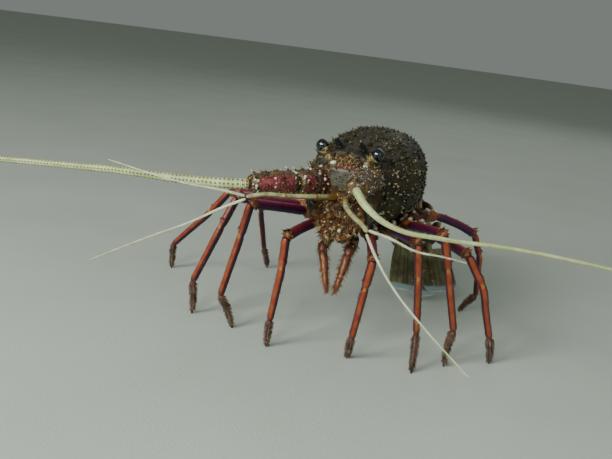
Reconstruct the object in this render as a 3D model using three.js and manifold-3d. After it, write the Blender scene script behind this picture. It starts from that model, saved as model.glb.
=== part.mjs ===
// A life-size spiny lobster standing on its ten walking feet, feelers spread to both sides.
// Millimetres, +Z up. The animal faces -Y, its left side is +X, and z = 0 is the floor.

import * as THREE from "three";
import { mergeVertices } from "three/addons/utils/BufferGeometryUtils.js";
import Module from "manifold-3d";

const wasm = await Module();
wasm.setup();

// Driving dimensions
const gap = 0.3; // clearance between neighbouring pieces
const axisHeight = 88; // height of the body's centre line
const carapaceFront = -46; // y of the front rim
const carapaceBack = 46; // y of the back rim
const carapaceFloor = 18.7; // depth of the shell's lower rim under the centre line
const grooveDepth = 1.7; // the cervical groove across the shell
const grooveSweep = 9; // how far the groove runs forward down the sides
const eyeRadius = 3.3;
const eyeSpread = 15; // distance of each eye from the middle
const eyeHeight = 110.5;
const hornLength = 11;
const hornSpread = 6.3;
const antennaRadius = 7.4; // thickness of the spiny feeler base where it leaves the head
const telsonLength = 38;
const telsonWidth = 19;
const finThickness = 1.2; // tail fan plates

// Colours by part
const shellBrown = "#4a3a24";
const plateGrey = "#5b5548";
const eyeBlack = "#0b0e12";
const padPink = "#8c2f4a";
const feelerCream = "#c9cf9c";
const antennuleCream = "#c2c2a0";
const merusPurple = "#7c2440";
const shinOrange = "#b4401c";
const dactylBrown = "#43201a";
const maxillipedOrange = "#8e4a22";
const bellyBrown = "#5c4d2e";
const tailOlive = "#4b4a2c";
const fanOlive = "#56603f";

// Small vector and number helpers
const vec = (x, y, z) => new THREE.Vector3(x, y, z);
const radians = THREE.MathUtils.degToRad;
const mix = THREE.MathUtils.lerp;

// Seeded random numbers, so that every build is the same
let seed = 20517;
function random() {
  seed = (seed * 1664525 + 1013904223) % 4294967296;
  return seed / 4294967296;
}
const jitter = (amount) => amount * (2 * random() - 1);

// Turns a closed geometry into a solid for joining and cutting
function solid(geometry) {
  const bare = geometry.clone();
  bare.deleteAttribute("normal");
  bare.deleteAttribute("uv");
  const merged = mergeVertices(bare, 1e-4);
  const vertProperties = new Float32Array(merged.attributes.position.array);
  const triVerts = new Uint32Array(merged.index.array);
  const made = new wasm.Manifold(new wasm.Mesh({ numProp: 3, vertProperties, triVerts }));
  if (made.volume() > 0) return made;
  for (let i = 0; i < triVerts.length; i += 3) {
    [triVerts[i], triVerts[i + 1]] = [triVerts[i + 1], triVerts[i]];
  }
  return new wasm.Manifold(new wasm.Mesh({ numProp: 3, vertProperties, triVerts }));
}

const join = (...solids) => wasm.Manifold.union(solids.flat());

// Keeps the largest closed surface, without loose scraps or sealed hollows
function largest(body) {
  return body.decompose().reduce((best, piece) => (piece.volume() > best.volume() ? piece : best));
}

// A copy of the body swollen by the clearance, used to cut its neighbours clear of it
function swollen(body, amount = 1.4 * gap) {
  const mesh = body.getMesh();
  const geometry = new THREE.BufferGeometry();
  geometry.setAttribute("position", new THREE.BufferAttribute(mesh.vertProperties, 3));
  geometry.setIndex(new THREE.BufferAttribute(mesh.triVerts, 1));
  geometry.computeVertexNormals();
  const { position, normal } = geometry.attributes;
  for (let i = 0; i < position.count; i++) {
    position.setXYZ(
      i,
      position.getX(i) + amount * normal.getX(i),
      position.getY(i) + amount * normal.getY(i),
      position.getZ(i) + amount * normal.getZ(i),
    );
  }
  return solid(geometry);
}

function cutClear(body, ...neighbours) {
  return largest(neighbours.reduce((rest, other) => rest.subtract(swollen(other)), body));
}

// A closed body through rings that all have the same number of points. With a tip, the last ring
// closes on that point instead of on its own centre.
function loft(rings, tip) {
  const count = rings[0].length;
  const points = rings.flat();
  const index = [];
  for (let r = 0; r + 1 < rings.length; r++) {
    for (let i = 0; i < count; i++) {
      const a = r * count + i;
      const b = r * count + ((i + 1) % count);
      index.push(a, b, b + count, a, b + count, a + count);
    }
  }
  for (const last of [false, true]) {
    const end = last ? rings.length - 1 : 0;
    const centre = rings[end].reduce((sum, p) => sum.add(p), vec(0, 0, 0)).divideScalar(count);
    points.push(last && tip ? tip : centre);
    for (let i = 0; i < count; i++) {
      const a = end * count + i;
      const b = end * count + ((i + 1) % count);
      index.push(...(last ? [a, b, points.length - 1] : [b, a, points.length - 1]));
    }
  }
  const geometry = new THREE.BufferGeometry().setFromPoints(points);
  geometry.setIndex(index);
  return solid(geometry);
}

// A ring of points round a centre, an ellipse bent towards a box where squareness is over 2
function ring(centre, across, upper, lower, count, squareness = 2) {
  const points = [];
  for (let i = 0; i < count; i++) {
    const angle = (2 * Math.PI * i) / count;
    const c = Math.cos(angle);
    const s = Math.sin(angle);
    const a = Math.sign(c) * Math.abs(c) ** (2 / squareness);
    const b = Math.abs(s) ** (2 / squareness);
    const rim = s > 0 ? upper : lower;
    points.push(centre.clone().addScaledVector(across, a).addScaledVector(rim, b));
  }
  return points;
}

const smoothCurve = (path) => new THREE.CatmullRomCurve3(path, false, "centripetal");

// A closed tapering tube along a smooth curve. The profile holds pairs of a place along the
// length, from 0 to 1, and the radius there.
function tube(path, profile, sides, steps = 6) {
  const curve = smoothCurve(path);
  const side = vec(0, 0, 1).cross(curve.getTangentAt(0));
  const rings = [];
  const addRing = (t, radius) => {
    const tangent = curve.getTangentAt(t);
    side.addScaledVector(tangent, -side.dot(tangent)).normalize();
    const across = side.clone().multiplyScalar(radius);
    const upper = tangent.clone().cross(side).multiplyScalar(radius);
    rings.push(ring(curve.getPointAt(t), across, upper, upper.clone().negate(), sides));
  };
  profile.forEach(([t, radius], k) => {
    if (k > 0) {
      const [before, radiusBefore] = profile[k - 1];
      const parts = Math.max(1, Math.round((t - before) * steps));
      for (let i = 1; i < parts; i++) {
        addRing(mix(before, t, i / parts), mix(radiusBefore, radius, i / parts));
      }
    }
    addRing(t, radius);
  });
  return loft(rings);
}

// A hooked spine with four sides. Its root sinks into the shell and its tip bends along lean.
function spine(root, direction, length, radius, lean = vec(0, 0, 0)) {
  const along = direction.clone().normalize();
  const across = vec(along.z, 0, -along.x).lengthSq() > 0.01 ? vec(along.z, 0, -along.x) : vec(1, 0, 0);
  across.normalize();
  const upper = along.clone().cross(across);
  const at = (distance, thickness, bend) => {
    const centre = root.clone().addScaledVector(along, distance).addScaledVector(lean, bend);
    const a = across.clone().multiplyScalar(thickness);
    const b = upper.clone().multiplyScalar(thickness);
    return ring(centre, a, b, b.clone().negate(), 4);
  };
  const tip = root.clone().addScaledVector(along, length).add(lean);
  return loft([at(-radius, radius, 0), at(0.45 * length, 0.62 * radius, 0.2)], tip);
}

const ellipsoid = (centre, x, y, z, detail = 10) => {
  const geometry = new THREE.SphereGeometry(1, detail, Math.round(0.7 * detail));
  return solid(geometry.scale(x, y, z).translate(centre.x, centre.y, centre.z));
};

// Every finished piece becomes a named mesh with the colour of its part
const lobster = new THREE.Group();
function add(name, body, colour, roughness = 0.55) {
  const mesh = largest(body).getMesh();
  const geometry = new THREE.BufferGeometry();
  geometry.setAttribute("position", new THREE.BufferAttribute(mesh.vertProperties, 3));
  geometry.setIndex(new THREE.BufferAttribute(mesh.triVerts, 1));
  geometry.computeVertexNormals();
  const material = new THREE.MeshStandardMaterial({ color: colour, roughness, metalness: 0 });
  const piece = new THREE.Mesh(geometry, material);
  piece.name = name;
  lobster.add(piece);
}

// The carapace, widest behind its middle: y, half width and height over the centre line
const carapaceOutline = new THREE.CatmullRomCurve3([
  vec(carapaceFront, 19.5, 22),
  vec(-36, 23.5, 24),
  vec(-22, 26.5, 26.5),
  vec(-8, 28, 28),
  vec(8, 29.5, 29.5),
  vec(24, 29.5, 29.5),
  vec(38, 27.5, 27.5),
  vec(carapaceBack, 25, 25.5),
]);

// A point of the shell at a place along the body, from 0 to 1, and an angle up from the side
function shellPoint(along, angle) {
  const outline = carapaceOutline.getPoint(along);
  const groove = grooveDepth * Math.exp(-(((outline.x + 6) / 3.6) ** 2));
  const sweep = grooveSweep * Math.exp(-(((outline.x + 6) / 17) ** 2));
  const lower = angle < 0 || angle > Math.PI;
  const power = lower ? 2 / 3.4 : 2 / 2.3;
  const side = Math.sign(Math.cos(angle)) * Math.abs(Math.cos(angle)) ** power;
  const height = Math.sign(Math.sin(angle)) * Math.abs(Math.sin(angle)) ** power;
  const reach = lower ? carapaceFloor : outline.z - groove;
  const y = outline.x - sweep * (1 - Math.max(0, Math.sin(angle)));
  return vec((outline.y - groove) * side, y, axisHeight + reach * height);
}

function carapaceBody() {
  const rings = [];
  const lengthwise = 18;
  const sides = 24;
  for (let k = 0; k <= lengthwise; k++) {
    const points = [];
    for (let i = 0; i < sides; i++) {
      const angle = (2 * Math.PI * i) / sides;
      points.push(shellPoint(k / lengthwise, angle > Math.PI ? angle - 2 * Math.PI : angle));
    }
    rings.push(points);
  }
  return loft(rings);
}

// Spines point forward in rows along the shell, long near the head and short near the tail
function carapaceSpines() {
  const spines = [];
  for (const side of [-1, 1]) {
    for (let row = 0; row < 5; row++) {
      const lift = 77 - 19 * row;
      const many = 7;
      for (let k = 0; k < many; k++) {
        const along = mix(0.07, 0.95, (k + (row % 2) * 0.5) / many) + jitter(0.012);
        const up = radians(lift + jitter(4));
        const nearEye = along < 0.14 && lift > 35 && lift < 75;
        if (nearEye) continue;
        const angle = side > 0 ? up : Math.PI - up;
        const root = shellPoint(along, lift < 0 && side < 0 ? angle - 2 * Math.PI : angle);
        const outward = vec(root.x, 0, 1.1 * (root.z - axisHeight)).normalize();
        const length = mix(5.2, 2.3, Math.min(1, along * 1.4)) * (1 + jitter(0.18));
        const direction = outward.clone().multiplyScalar(0.75).add(vec(0, -0.75, 0.12));
        const lean = vec(0, -0.16 * length, 0.1 * length);
        spines.push(spine(root, direction, length, 0.27 * length, lean));
      }
    }
  }
  return spines;
}

// The two frontal horns stand over the eyes and point forward and up
function frontalHorns() {
  return [-1, 1].map((side) => {
    const along = (share, outward, rise) =>
      vec(side * (hornSpread + outward), -39 - share * hornLength, 109 + rise * hornLength);
    const path = [along(0, 0, 0), along(0.55, 0.4, 0.42), along(1, 0.2, 0.77)];
    return tube(path, [[0, 2.9], [0.45, 2.1], [0.8, 1.2], [1, 0.25]], 7, 4);
  });
}

// Each eye is a ball on a short thick stalk that rises from the notch beside its horn
function eye(side) {
  const centre = vec(side * eyeSpread, -44, eyeHeight);
  const ball = solid(new THREE.SphereGeometry(eyeRadius, 12, 8).translate(centre.x, centre.y, centre.z));
  const root = vec(side * 9.5, -44.5, 103.5);
  return join(ball, tube([root, centre], [[0, 2.4], [1, 2.6]], 8, 1));
}

const shell = carapaceBody();
const eyes = { r: eye(-1), l: eye(1) };
const horned = join(cutClear(shell, eyes.r, eyes.l), frontalHorns());
add("carapace", cutClear(join(horned, carapaceSpines()), eyes.r, eyes.l), shellBrown, 0.6);
add("eye_r", eyes.r, eyeBlack, 0.08);
add("eye_l", eyes.l, eyeBlack, 0.08);

// The sternum fills the underside between the legs and widens towards the tail
const hipPlaces = [
  { x: 11, y: -20 },
  { x: 15, y: -8 },
  { x: 19, y: 5 },
  { x: 22, y: 18 },
  { x: 24, y: 30 },
];
const hipHeight = 64.5;

function sternumBody() {
  const stations = [
    [-43, 7, 4],
    [-32, 6.5, 6],
    [-20, 6.5, 8],
    [5, 14.5, 8.6],
    [30, 19.5, 8.6],
    [43, 18, 6],
  ];
  const top = axisHeight - carapaceFloor - gap;
  const rings = stations.map(([y, half, depth]) => {
    const centre = vec(0, y, top - depth / 2);
    const upper = vec(0, 0, depth / 2);
    return ring(centre, vec(half, 0, 0), upper, upper.clone().negate(), 14, 3.2);
  });
  return loft(rings);
}

const sternum = sternumBody();
add("sternum", sternum, bellyBrown, 0.6);

// The thick spiny feet of the long feelers: a base of two short joints, a shaft, and the whip
const antennae = {
  r: {
    base: [vec(-12.5, -43, 93), vec(-14.5, -54, 92.8), vec(-19.5, -67, 93)],
    shaft: [vec(-19.3, -66.6, 93), vec(-27.5, -78, 93.4), vec(-36, -88, 92.4)],
    whip: [
      vec(-35.4, -87.5, 92.4),
      vec(-41.5, -92, 92.1),
      vec(-67, -96, 90),
      vec(-99, -98, 88.6),
      vec(-137, -98, 85),
      vec(-176, -97, 81),
      vec(-250, -92, 72.5),
      vec(-338, -84, 59),
    ],
    whipRadii: [[0, 2.7], [0.04, 2.6], [0.2, 2.05], [0.42, 1.6], [0.75, 0.9], [1, 0.3]],
    divide: -108,
  },
  l: {
    base: [vec(12.8, -43, 97), vec(14.2, -56, 98.3), vec(15.8, -69, 99.4)],
    shaft: [vec(15.8, -68.6, 99.4), vec(17.5, -82, 100.6), vec(19.6, -95, 101.2)],
    whip: [
      vec(19.5, -94.4, 101.2),
      vec(22.4, -99, 99.6),
      vec(27.4, -101.3, 95.4),
      vec(39.6, -99, 88.4),
      vec(61, -89, 85.2),
      vec(90, -77, 84.4),
      vec(135, -59, 80),
      vec(185, -42, 73),
      vec(285, -12, 58),
    ],
    whipRadii: [
      [0, 2.1],
      [0.03, 1.9],
      [0.06, 1.55],
      [0.1, 1.2],
      [0.27, 0.95],
      [0.45, 0.8],
      [0.75, 0.55],
      [1, 0.28],
    ],
    divide: 98,
  },
};

// Spines stand round a feeler's foot in rings, away from the side where the small feelers run
function peduncleSpines(path, radius, rings, side) {
  const curve = smoothCurve(path);
  const spines = [];
  for (const along of rings) {
    const centre = curve.getPointAt(along);
    const tangent = curve.getTangentAt(along);
    for (const lift of [-15, 35, 85, 130]) {
      const turn = radians(lift + jitter(9));
      const across = vec(0, 0, 1).cross(tangent).normalize();
      if (across.x * side < 0) across.negate();
      const over = vec(0, 0, 1);
      const outward = across.multiplyScalar(Math.cos(turn)).addScaledVector(over, Math.sin(turn));
      const root = centre.clone().addScaledVector(outward, radius - 0.5);
      const length = 3.4 * (1 + jitter(0.25));
      const direction = outward.clone().addScaledVector(tangent, 0.7);
      spines.push(spine(root, direction, length, 0.95, tangent.clone().multiplyScalar(0.5)));
    }
  }
  return spines;
}

const feelerFeet = [];
for (const [side, sign] of [["r", -1], ["l", 1]]) {
  const feeler = antennae[side];
  const shaftProfile = [[0, 4.2], [0.1, 6.2], [0.4, 6], [0.85, 5.1], [1, 4.4]];
  const plainShaft = tube(feeler.shaft, shaftProfile, 9, 3);
  const stout = antennaRadius;
  const baseProfile = [[0, stout], [0.55, stout], [0.7, 6.6], [0.88, 6.9], [1, 6.2]];
  const plainBase = cutClear(tube(feeler.base, baseProfile, 10, 3), shell, eyes[side], plainShaft);
  const baseSpines = peduncleSpines(feeler.base, antennaRadius, [0.42, 0.8], sign);
  const shaftSpines = peduncleSpines(feeler.shaft, 5.9, [0.3, 0.62, 0.9], sign);
  add(`antenna_${side}_base`, cutClear(join(plainBase, baseSpines), plainShaft), padPink);
  add(`antenna_${side}_shaft`, join(plainShaft, shaftSpines), padPink);
  feelerFeet.push(plainBase, plainShaft);

  // The whip is divided into an inner and an outer length
  const whip = cutClear(tube(feeler.whip, feeler.whipRadii, 7, 30), plainShaft);
  const outwards = feeler.divide * sign;
  const inner = whip.trimByPlane([-sign, 0, 0], -outwards + gap / 2);
  const outer = whip.trimByPlane([sign, 0, 0], outwards + gap / 2);
  add(`flagellum_${side}_1`, inner, feelerCream, 0.5);
  add(`flagellum_${side}_2`, outer, feelerCream, 0.5);
}

// The front of the head: the plate between the feelers, the mouth plate and the two jaws
function headFront() {
  const face = carapaceFront - gap;
  const bulge = (centreZ, stations) =>
    loft(
      stations.map(([depth, half, up, down]) => {
        const centre = vec(0, face - depth, centreZ);
        return ring(centre, vec(half, 0, 0), vec(0, 0, up), vec(0, 0, -down), 14, 2.6);
      }),
    );
  const plate = bulge(95, [
    [0, 12.5, 14, 12],
    [3, 11.5, 12.5, 11],
    [5.4, 8, 8.5, 8],
    [6.2, 4, 4.5, 4],
  ]);
  const mouth = bulge(76, [
    [0, 15, 11, 11],
    [2.5, 13, 10, 10],
    [4.6, 8, 6.5, 6],
  ]);
  const jaws = [-1, 1].map((side) => ellipsoid(vec(side * 4.4, face - 2.6, 68), 4.2, 4.4, 6.4, 8));
  const spines = [];
  for (const side of [-1, 1]) {
    for (const [x, z, length] of [[3.4, 101, 3.4], [2.6, 96, 2.6]]) {
      const root = vec(side * x, face - 5, z);
      spines.push(spine(root, vec(0, -1, 0.35), length, 0.7, vec(0, 0, 0.5)));
    }
  }
  const whole = join(plate, mouth, jaws, spines).trimByPlane([0, -1, 0], -face);
  return cutClear(whole, ...feelerFeet, eyes.r, eyes.l, sternum);
}

const head = headFront();
add("head_front", head, plateGrey, 0.6);

// The small feelers: a slender three-jointed foot and two thin branches on each side
const antennules = {
  r: {
    foot: [
      vec(-2.6, -50, 86),
      vec(-7.2, -66, 87.8),
      vec(-19, -82, 88.6),
      vec(-26, -90, 89.3),
      vec(-33, -97, 87.8),
    ],
    outer: [
      vec(-33.4, -97.2, 86.6),
      vec(-42.6, -98, 81.4),
      vec(-61, -98, 69.6),
      vec(-82.5, -97, 57.7),
      vec(-119, -95, 36.5),
    ],
    inner: [vec(-33.2, -98.2, 88.6), vec(-43, -102, 90), vec(-62, -107, 91), vec(-103, -108, 95)],
  },
  l: {
    foot: [
      vec(3.2, -50, 86),
      vec(10.4, -72, 86.6),
      vec(19, -88, 86.4),
      vec(26, -98, 86),
      vec(30, -105, 85.4),
    ],
    outer: [
      vec(30.4, -106, 84.2),
      vec(36.7, -109, 76),
      vec(47.3, -111, 64),
      vec(60, -112, 53),
      vec(86, -112, 33),
    ],
    inner: [
      vec(31, -105.8, 86.3),
      vec(41.6, -107, 85),
      vec(53.2, -106, 81.6),
      vec(65, -102, 80.6),
      vec(75, -98, 79),
    ],
  },
};

for (const side of ["r", "l"]) {
  const small = antennules[side];
  const footProfile = [
    [0, 1.9],
    [0.1, 1.5],
    [0.28, 1.35],
    [0.3, 1.55],
    [0.6, 1.15],
    [0.62, 1.35],
    [1, 1.1],
  ];
  const foot = cutClear(tube(small.foot, footProfile, 7, 8), head, ...feelerFeet);
  const outer = cutClear(tube(small.outer, [[0, 0.75], [0.5, 0.5], [1, 0.25]], 5, 12), foot);
  const inner = cutClear(tube(small.inner, [[0, 0.7], [0.5, 0.5], [1, 0.25]], 5, 10), foot, outer);
  add(`antennule_${side}_foot`, foot, antennuleCream);
  add(`antennule_${side}_outer`, outer, antennuleCream);
  add(`antennule_${side}_inner`, inner, antennuleCream);
}

// The jaw feet reach forward under the mouth and hang down with their tips together
const jawFeet = {
  r: [
    vec(-5, -27, 61),
    vec(-7.5, -35, 59),
    vec(-8.2, -41, 56.5),
    vec(-5, -45.5, 48.6),
    vec(-2.2, -48, 40),
    vec(-0.4, -48, 32.5),
  ],
  l: [
    vec(5, -27, 61),
    vec(6.5, -35, 59),
    vec(6.8, -41, 56.5),
    vec(6, -46, 47),
    vec(5, -48.4, 39.5),
    vec(3.9, -49, 33.5),
  ],
};
for (const side of ["r", "l"]) {
  const profile = [[0, 2.9], [0.3, 3], [0.42, 2.8], [0.46, 2.3], [0.72, 2], [0.76, 1.6], [1, 0.8]];
  const limb = tube(jawFeet[side], profile, 7, 7);
  add(`maxilliped_${side}`, cutClear(limb, sternum, head, shell), maxillipedOrange);
}

// Link lengths of the five pairs of legs: hip to knee, wrist, shin and claw
const legLengths = [
  [49, 16.5, 32.5, 16.5],
  [57.5, 20.5, 36, 21.5],
  [62.5, 20.5, 36.5, 21.5],
  [65.5, 19.5, 36, 18.5],
  [51, 16.5, 31, 18.5],
];

// How each leg is held, in degrees: turn is 0 straight out, -90 forward and 90 back, and rise is
// up from level, for thigh, wrist and shin. The claw's own rise follows from the floor.
const legPoses = {
  r: [
    { turn: [-79, 49, 39, 63], rise: [0, -88, -80], scale: 1, lift: 2.5 },
    { turn: [-55, -1, 0, 150], rise: [10, -79, -77], scale: 1 },
    { turn: [-43, -55, -16, 95], rise: [7, -64, -69], scale: 0.98 },
    { turn: [-4, 4, 5, 64], rise: [-2, -52, -47], scale: 1.05 },
    { turn: [6, 72, 89, 93], rise: [-4, -61, -64], scale: 1.05 },
  ],
  l: [
    { turn: [-72, 132, 122, 113], rise: [-3, -77, -74], scale: 1 },
    { turn: [-58, 66, 83, -77], rise: [8, -75, -68], scale: 1.01 },
    { turn: [-54, 57, 56, 154], rise: [11, -69, -70], scale: 1.03 },
    { turn: [-43, 11, 53, 63], rise: [-1, -57, -67], scale: 0.95 },
    { turn: [39, 28, 72, 172], rise: [-10, -68, -77], scale: 0.93, lift: 4 },
  ],
};

// A unit step out from the body in the direction of a turn and a rise
function heading(sign, turn, rise) {
  const level = Math.cos(radians(rise));
  const outward = sign * level * Math.cos(radians(turn));
  return vec(outward, level * Math.sin(radians(turn)), Math.sin(radians(rise)));
}

function legJoints(sign, number) {
  const { turn, rise, scale } = legPoses[sign < 0 ? "r" : "l"][number];
  const place = hipPlaces[number];
  const joints = [vec(sign * place.x, place.y, hipHeight)];
  for (let link = 0; link < 3; link++) {
    const step = heading(sign, turn[link], rise[link]);
    joints.push(joints[link].clone().addScaledVector(step, scale * legLengths[number][link]));
  }
  const wrist = joints[3];
  const claw = scale * legLengths[number][3];
  const drop = Math.min(wrist.z + 0.4, 0.995 * claw);
  const reach = Math.sqrt(claw ** 2 - drop ** 2);
  const away = heading(sign, turn[3], 0).multiplyScalar(reach);
  joints.push(wrist.clone().add(away).setZ(wrist.z - drop));
  return joints;
}

function addLeg(side, sign, number) {
  const [hip, knee, wrist, ankle, tip] = legJoints(sign, number);
  const stout = [1, 1, 1.02, 1, 0.9][number];
  const { lift = 1 } = legPoses[side][number];
  const thick = (profile) => profile.map(([t, radius]) => [t, radius * stout]);

  const clawBend = ankle.clone().lerp(tip, 0.5).add(vec(0.02 * (ankle.x - tip.x), 0, 0));
  const clawProfile = thick([[0, 1], [0.07, 1.65], [0.3, 1.5], [0.75, 1.1], [1, 0.85]]);
  const claw = tube([ankle, clawBend, tip], clawProfile, 6, 2).trimByPlane([0, 0, 1], 0);

  const between = (from, to, share) => from.clone().lerp(to, share);
  const shinPath = [knee, between(knee, wrist, 0.55), wrist, between(wrist, ankle, 0.5), ankle];
  const shinProfile = thick([[0, 1.4], [0.04, 2.25], [0.28, 2.15], [0.33, 2], [0.7, 1.9], [1, 1.75]]);
  const plainShin = cutClear(tube(shinPath, shinProfile, 7, 3), claw);

  const out = knee.clone().sub(hip);
  const inward = vec(hip.x - sign * 5, hip.y + 1.5, hip.z - 1);
  const arch = (t, rise) => hip.clone().addScaledVector(out, t).add(vec(0, 0, rise * lift));
  const merusPath = [inward, hip, arch(0.3, 1.2), arch(0.65, 1), knee.clone().addScaledVector(out, 0.01)];
  const merusProfile = thick([
    [0, 4.5],
    [0.17, 4.5],
    [0.24, 3.9],
    [0.4, 3.6],
    [0.43, 2.8],
    [0.8, 2.7],
    [0.96, 3.1],
    [1, 2.6],
  ]);
  const merusTube = tube(merusPath, merusProfile, 7, 4);
  const plainMerus = cutClear(merusTube, plainShin, shell, sternum);

  // Two spines stand over the knee and one on the wrist
  const outward = out.clone().normalize();
  const over = vec(0, 0, 1);
  const kneeSpines = [-0.8, 0.8].map((lean) => {
    const sideways = outward.clone().cross(over).multiplyScalar(lean);
    const root = knee
      .clone()
      .addScaledVector(outward, -2.6)
      .addScaledVector(over, 1.6)
      .addScaledVector(sideways, 1.6);
    return spine(root, over.clone().addScaledVector(outward, 1.1).add(sideways), 4, 0.8);
  });
  add(`leg_${side}${number + 1}_merus`, cutClear(join(plainMerus, kneeSpines), plainShin), merusPurple);
  add(`leg_${side}${number + 1}_shin`, plainShin, shinOrange);
  add(`leg_${side}${number + 1}_dactyl`, claw, dactylBrown, 0.7);
}

for (const [side, sign] of [["r", -1], ["l", 1]]) {
  for (let number = 0; number < 5; number++) addLeg(side, sign, number);
}

// The tail runs back behind the shell, curls down and turns in to the animal's left: centre,
// sideways direction, half width, height over and under the centre at each joint
const tailJoints = [
  { at: vec(0, carapaceBack + gap, 88), side: vec(1, 0, 0), half: 22, up: 20, down: 13 },
  { at: vec(-4, 64, 88), side: vec(1, 0, 0), half: 22, up: 19.5, down: 13 },
  { at: vec(-7, 81, 83), side: vec(1, 0.04, 0), half: 21.5, up: 18.5, down: 12.5 },
  { at: vec(-7, 95, 72.5), side: vec(0.99, 0.12, 0), half: 20.5, up: 17, down: 12 },
  { at: vec(-1, 102, 58), side: vec(0.97, 0.22, 0), half: 19, up: 15.5, down: 11 },
  { at: vec(9, 100, 44), side: vec(0.95, 0.32, 0), half: 17.5, up: 13.5, down: 10 },
  { at: vec(21, 91, 34), side: vec(0.92, 0.38, 0), half: 16, up: 11, down: 8 },
];
const tailCurve = smoothCurve(tailJoints.map((joint) => joint.at));

// The tail's frame at a place counted in joints: centre, forward, sideways and up
function tailFrame(place) {
  const k = Math.min(5, Math.floor(place));
  const share = place - k;
  const near = tailJoints[k];
  const far = tailJoints[k + 1];
  const tangent = tailCurve.getTangent(place / 6);
  const side = near.side.clone().lerp(far.side, share);
  side.addScaledVector(tangent, -side.dot(tangent)).normalize();
  return {
    centre: tailCurve.getPoint(place / 6),
    tangent,
    side,
    up: side.clone().cross(tangent),
    half: mix(near.half, far.half, share),
    height: mix(near.up, far.up, share),
    depth: mix(near.down, far.down, share),
  };
}

function tailRing(place, size, shift) {
  const frame = tailFrame(place);
  const centre = frame.centre.addScaledVector(frame.tangent, shift);
  const across = frame.side.multiplyScalar(frame.half * size);
  const lower = frame.up.clone().multiplyScalar(-frame.depth * size);
  return ring(centre, across, frame.up.multiplyScalar(frame.height * size), lower, 18, 2.5);
}

// One tail ring: an arched plate with a pointed flap down each side and small leaf fins below
function tailSegment(number) {
  const start = number - 1;
  const rings = [
    tailRing(start, 0.93, number === 1 ? gap : gap / 2),
    tailRing(start + 0.25, 0.985, 0),
    tailRing(start + 0.6, 1, 0),
    tailRing(start + 1, 1, -gap / 2),
  ];
  const parts = [loft(rings)];
  for (const sideways of [-1, 1]) {
    const frame = tailFrame(start + 0.62);
    const root = frame.centre
      .clone()
      .addScaledVector(frame.side, sideways * frame.half * 0.88)
      .addScaledVector(frame.up, -frame.depth * 0.45);
    const point = frame.up.clone().multiplyScalar(-1).addScaledVector(frame.tangent, 0.3);
    point.addScaledVector(frame.side, sideways * 0.2).normalize();
    const flap = (distance, long, wide) => {
      const along = frame.tangent.clone().multiplyScalar(long);
      const across = frame.side.clone().multiplyScalar(wide);
      const centre = root.clone().addScaledVector(point, distance);
      return ring(centre, along, across, across.clone().negate(), 4);
    };
    const shrink = number === 6 ? 0.6 : 1;
    const tip = root.clone().addScaledVector(point, 5 + 8 * shrink);
    tip.addScaledVector(frame.tangent, 1.5);
    parts.push(loft([flap(-2, 3.3, 1.8), flap(5, 3, 1.5), flap(5 + 4 * shrink, 2.4, 1)], tip));
    if (number > 1 && number < 6) {
      const hinge = frame.centre
        .clone()
        .addScaledVector(frame.side, sideways * frame.half * 0.5)
        .addScaledVector(frame.up, -frame.depth * 0.8);
      const leafWay = frame.tangent.clone().multiplyScalar(0.9).sub(frame.up).normalize();
      const leaf = (distance, wide, thick) => {
        const across = frame.side.clone().multiplyScalar(wide);
        const over = frame.tangent.clone().multiplyScalar(thick);
        const centre = hinge.clone().addScaledVector(leafWay, distance);
        return ring(centre, across, over, over.clone().negate(), 4);
      };
      parts.push(loft([leaf(-1, 2, 1), leaf(5, 3.6, 0.7), leaf(9, 1.6, 0.5)]));
    }
  }
  return join(parts);
}

const tailRings = [];
for (let number = 1; number <= 6; number++) {
  const whole = tailSegment(number);
  const segment = number === 1 ? cutClear(whole, shell) : whole;
  tailRings.push(segment);
  add(`abdomen_${number}`, segment, tailOlive);
}

// The tail fan, half folded: the middle plate, and two leaf plates on each side under it
const fanRoot = vec(21.3, 90, 33);
const fanAim = vec(12, -23, -26).normalize();
const fanSide = vec(0.92, 0.38, 0);
fanSide.addScaledVector(fanAim, -fanSide.dot(fanAim)).normalize();
const fanUp = fanSide.clone().cross(fanAim);

// A flat plate of the fan, turned about the fan's root and set under the middle plate
function fanPlate(aside, start, length, width, turn, sink) {
  const outline = new THREE.Shape();
  outline.moveTo(-0.4 * width, 0);
  outline.quadraticCurveTo(-0.5 * width, 0.4 * length, -0.5 * width, 0.78 * length);
  outline.quadraticCurveTo(-0.46 * width, length, 0, length);
  outline.quadraticCurveTo(0.46 * width, length, 0.5 * width, 0.78 * length);
  outline.quadraticCurveTo(0.5 * width, 0.4 * length, 0.4 * width, 0);
  const geometry = new THREE.ExtrudeGeometry(outline, {
    depth: finThickness,
    bevelEnabled: false,
    curveSegments: 4,
  });
  geometry.rotateZ(turn).translate(aside, start, -finThickness / 2 - sink);
  const frame = new THREE.Matrix4().makeBasis(fanSide, fanAim, fanUp.clone().negate());
  if (frame.determinant() < 0) frame.makeBasis(fanSide, fanAim, fanUp);
  frame.setPosition(fanRoot);
  return solid(geometry.applyMatrix4(frame));
}

const telson = cutClear(fanPlate(0, 0, telsonLength, telsonWidth, 0, 0), tailRings[5]);
add("telson", telson, fanOlive, 0.5);

function uropod(sign) {
  const inner = fanPlate(sign * 6, 3, 32, 15, -sign * radians(4), -1.7);
  const outer = fanPlate(sign * 11.5, 3, 32, 16, -sign * radians(8), -2.9);
  const step = (out, along) =>
    fanRoot
      .clone()
      .addScaledVector(fanSide, sign * out)
      .addScaledVector(fanAim, along)
      .addScaledVector(fanUp, -3.2);
  const stem = tube([step(6, -1), step(6.5, 4), step(7, 8)], [[0, 2.2], [0.6, 2.2], [1, 1]], 7, 2);
  // Its half of the fan stays on its own side of the tail's middle plane
  const half = sign > 0 ? fanSide : fanSide.clone().negate();
  const edge = half.dot(fanRoot) + gap / 2;
  return join(inner, outer, stem).trimByPlane(half.toArray(), edge);
}

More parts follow.
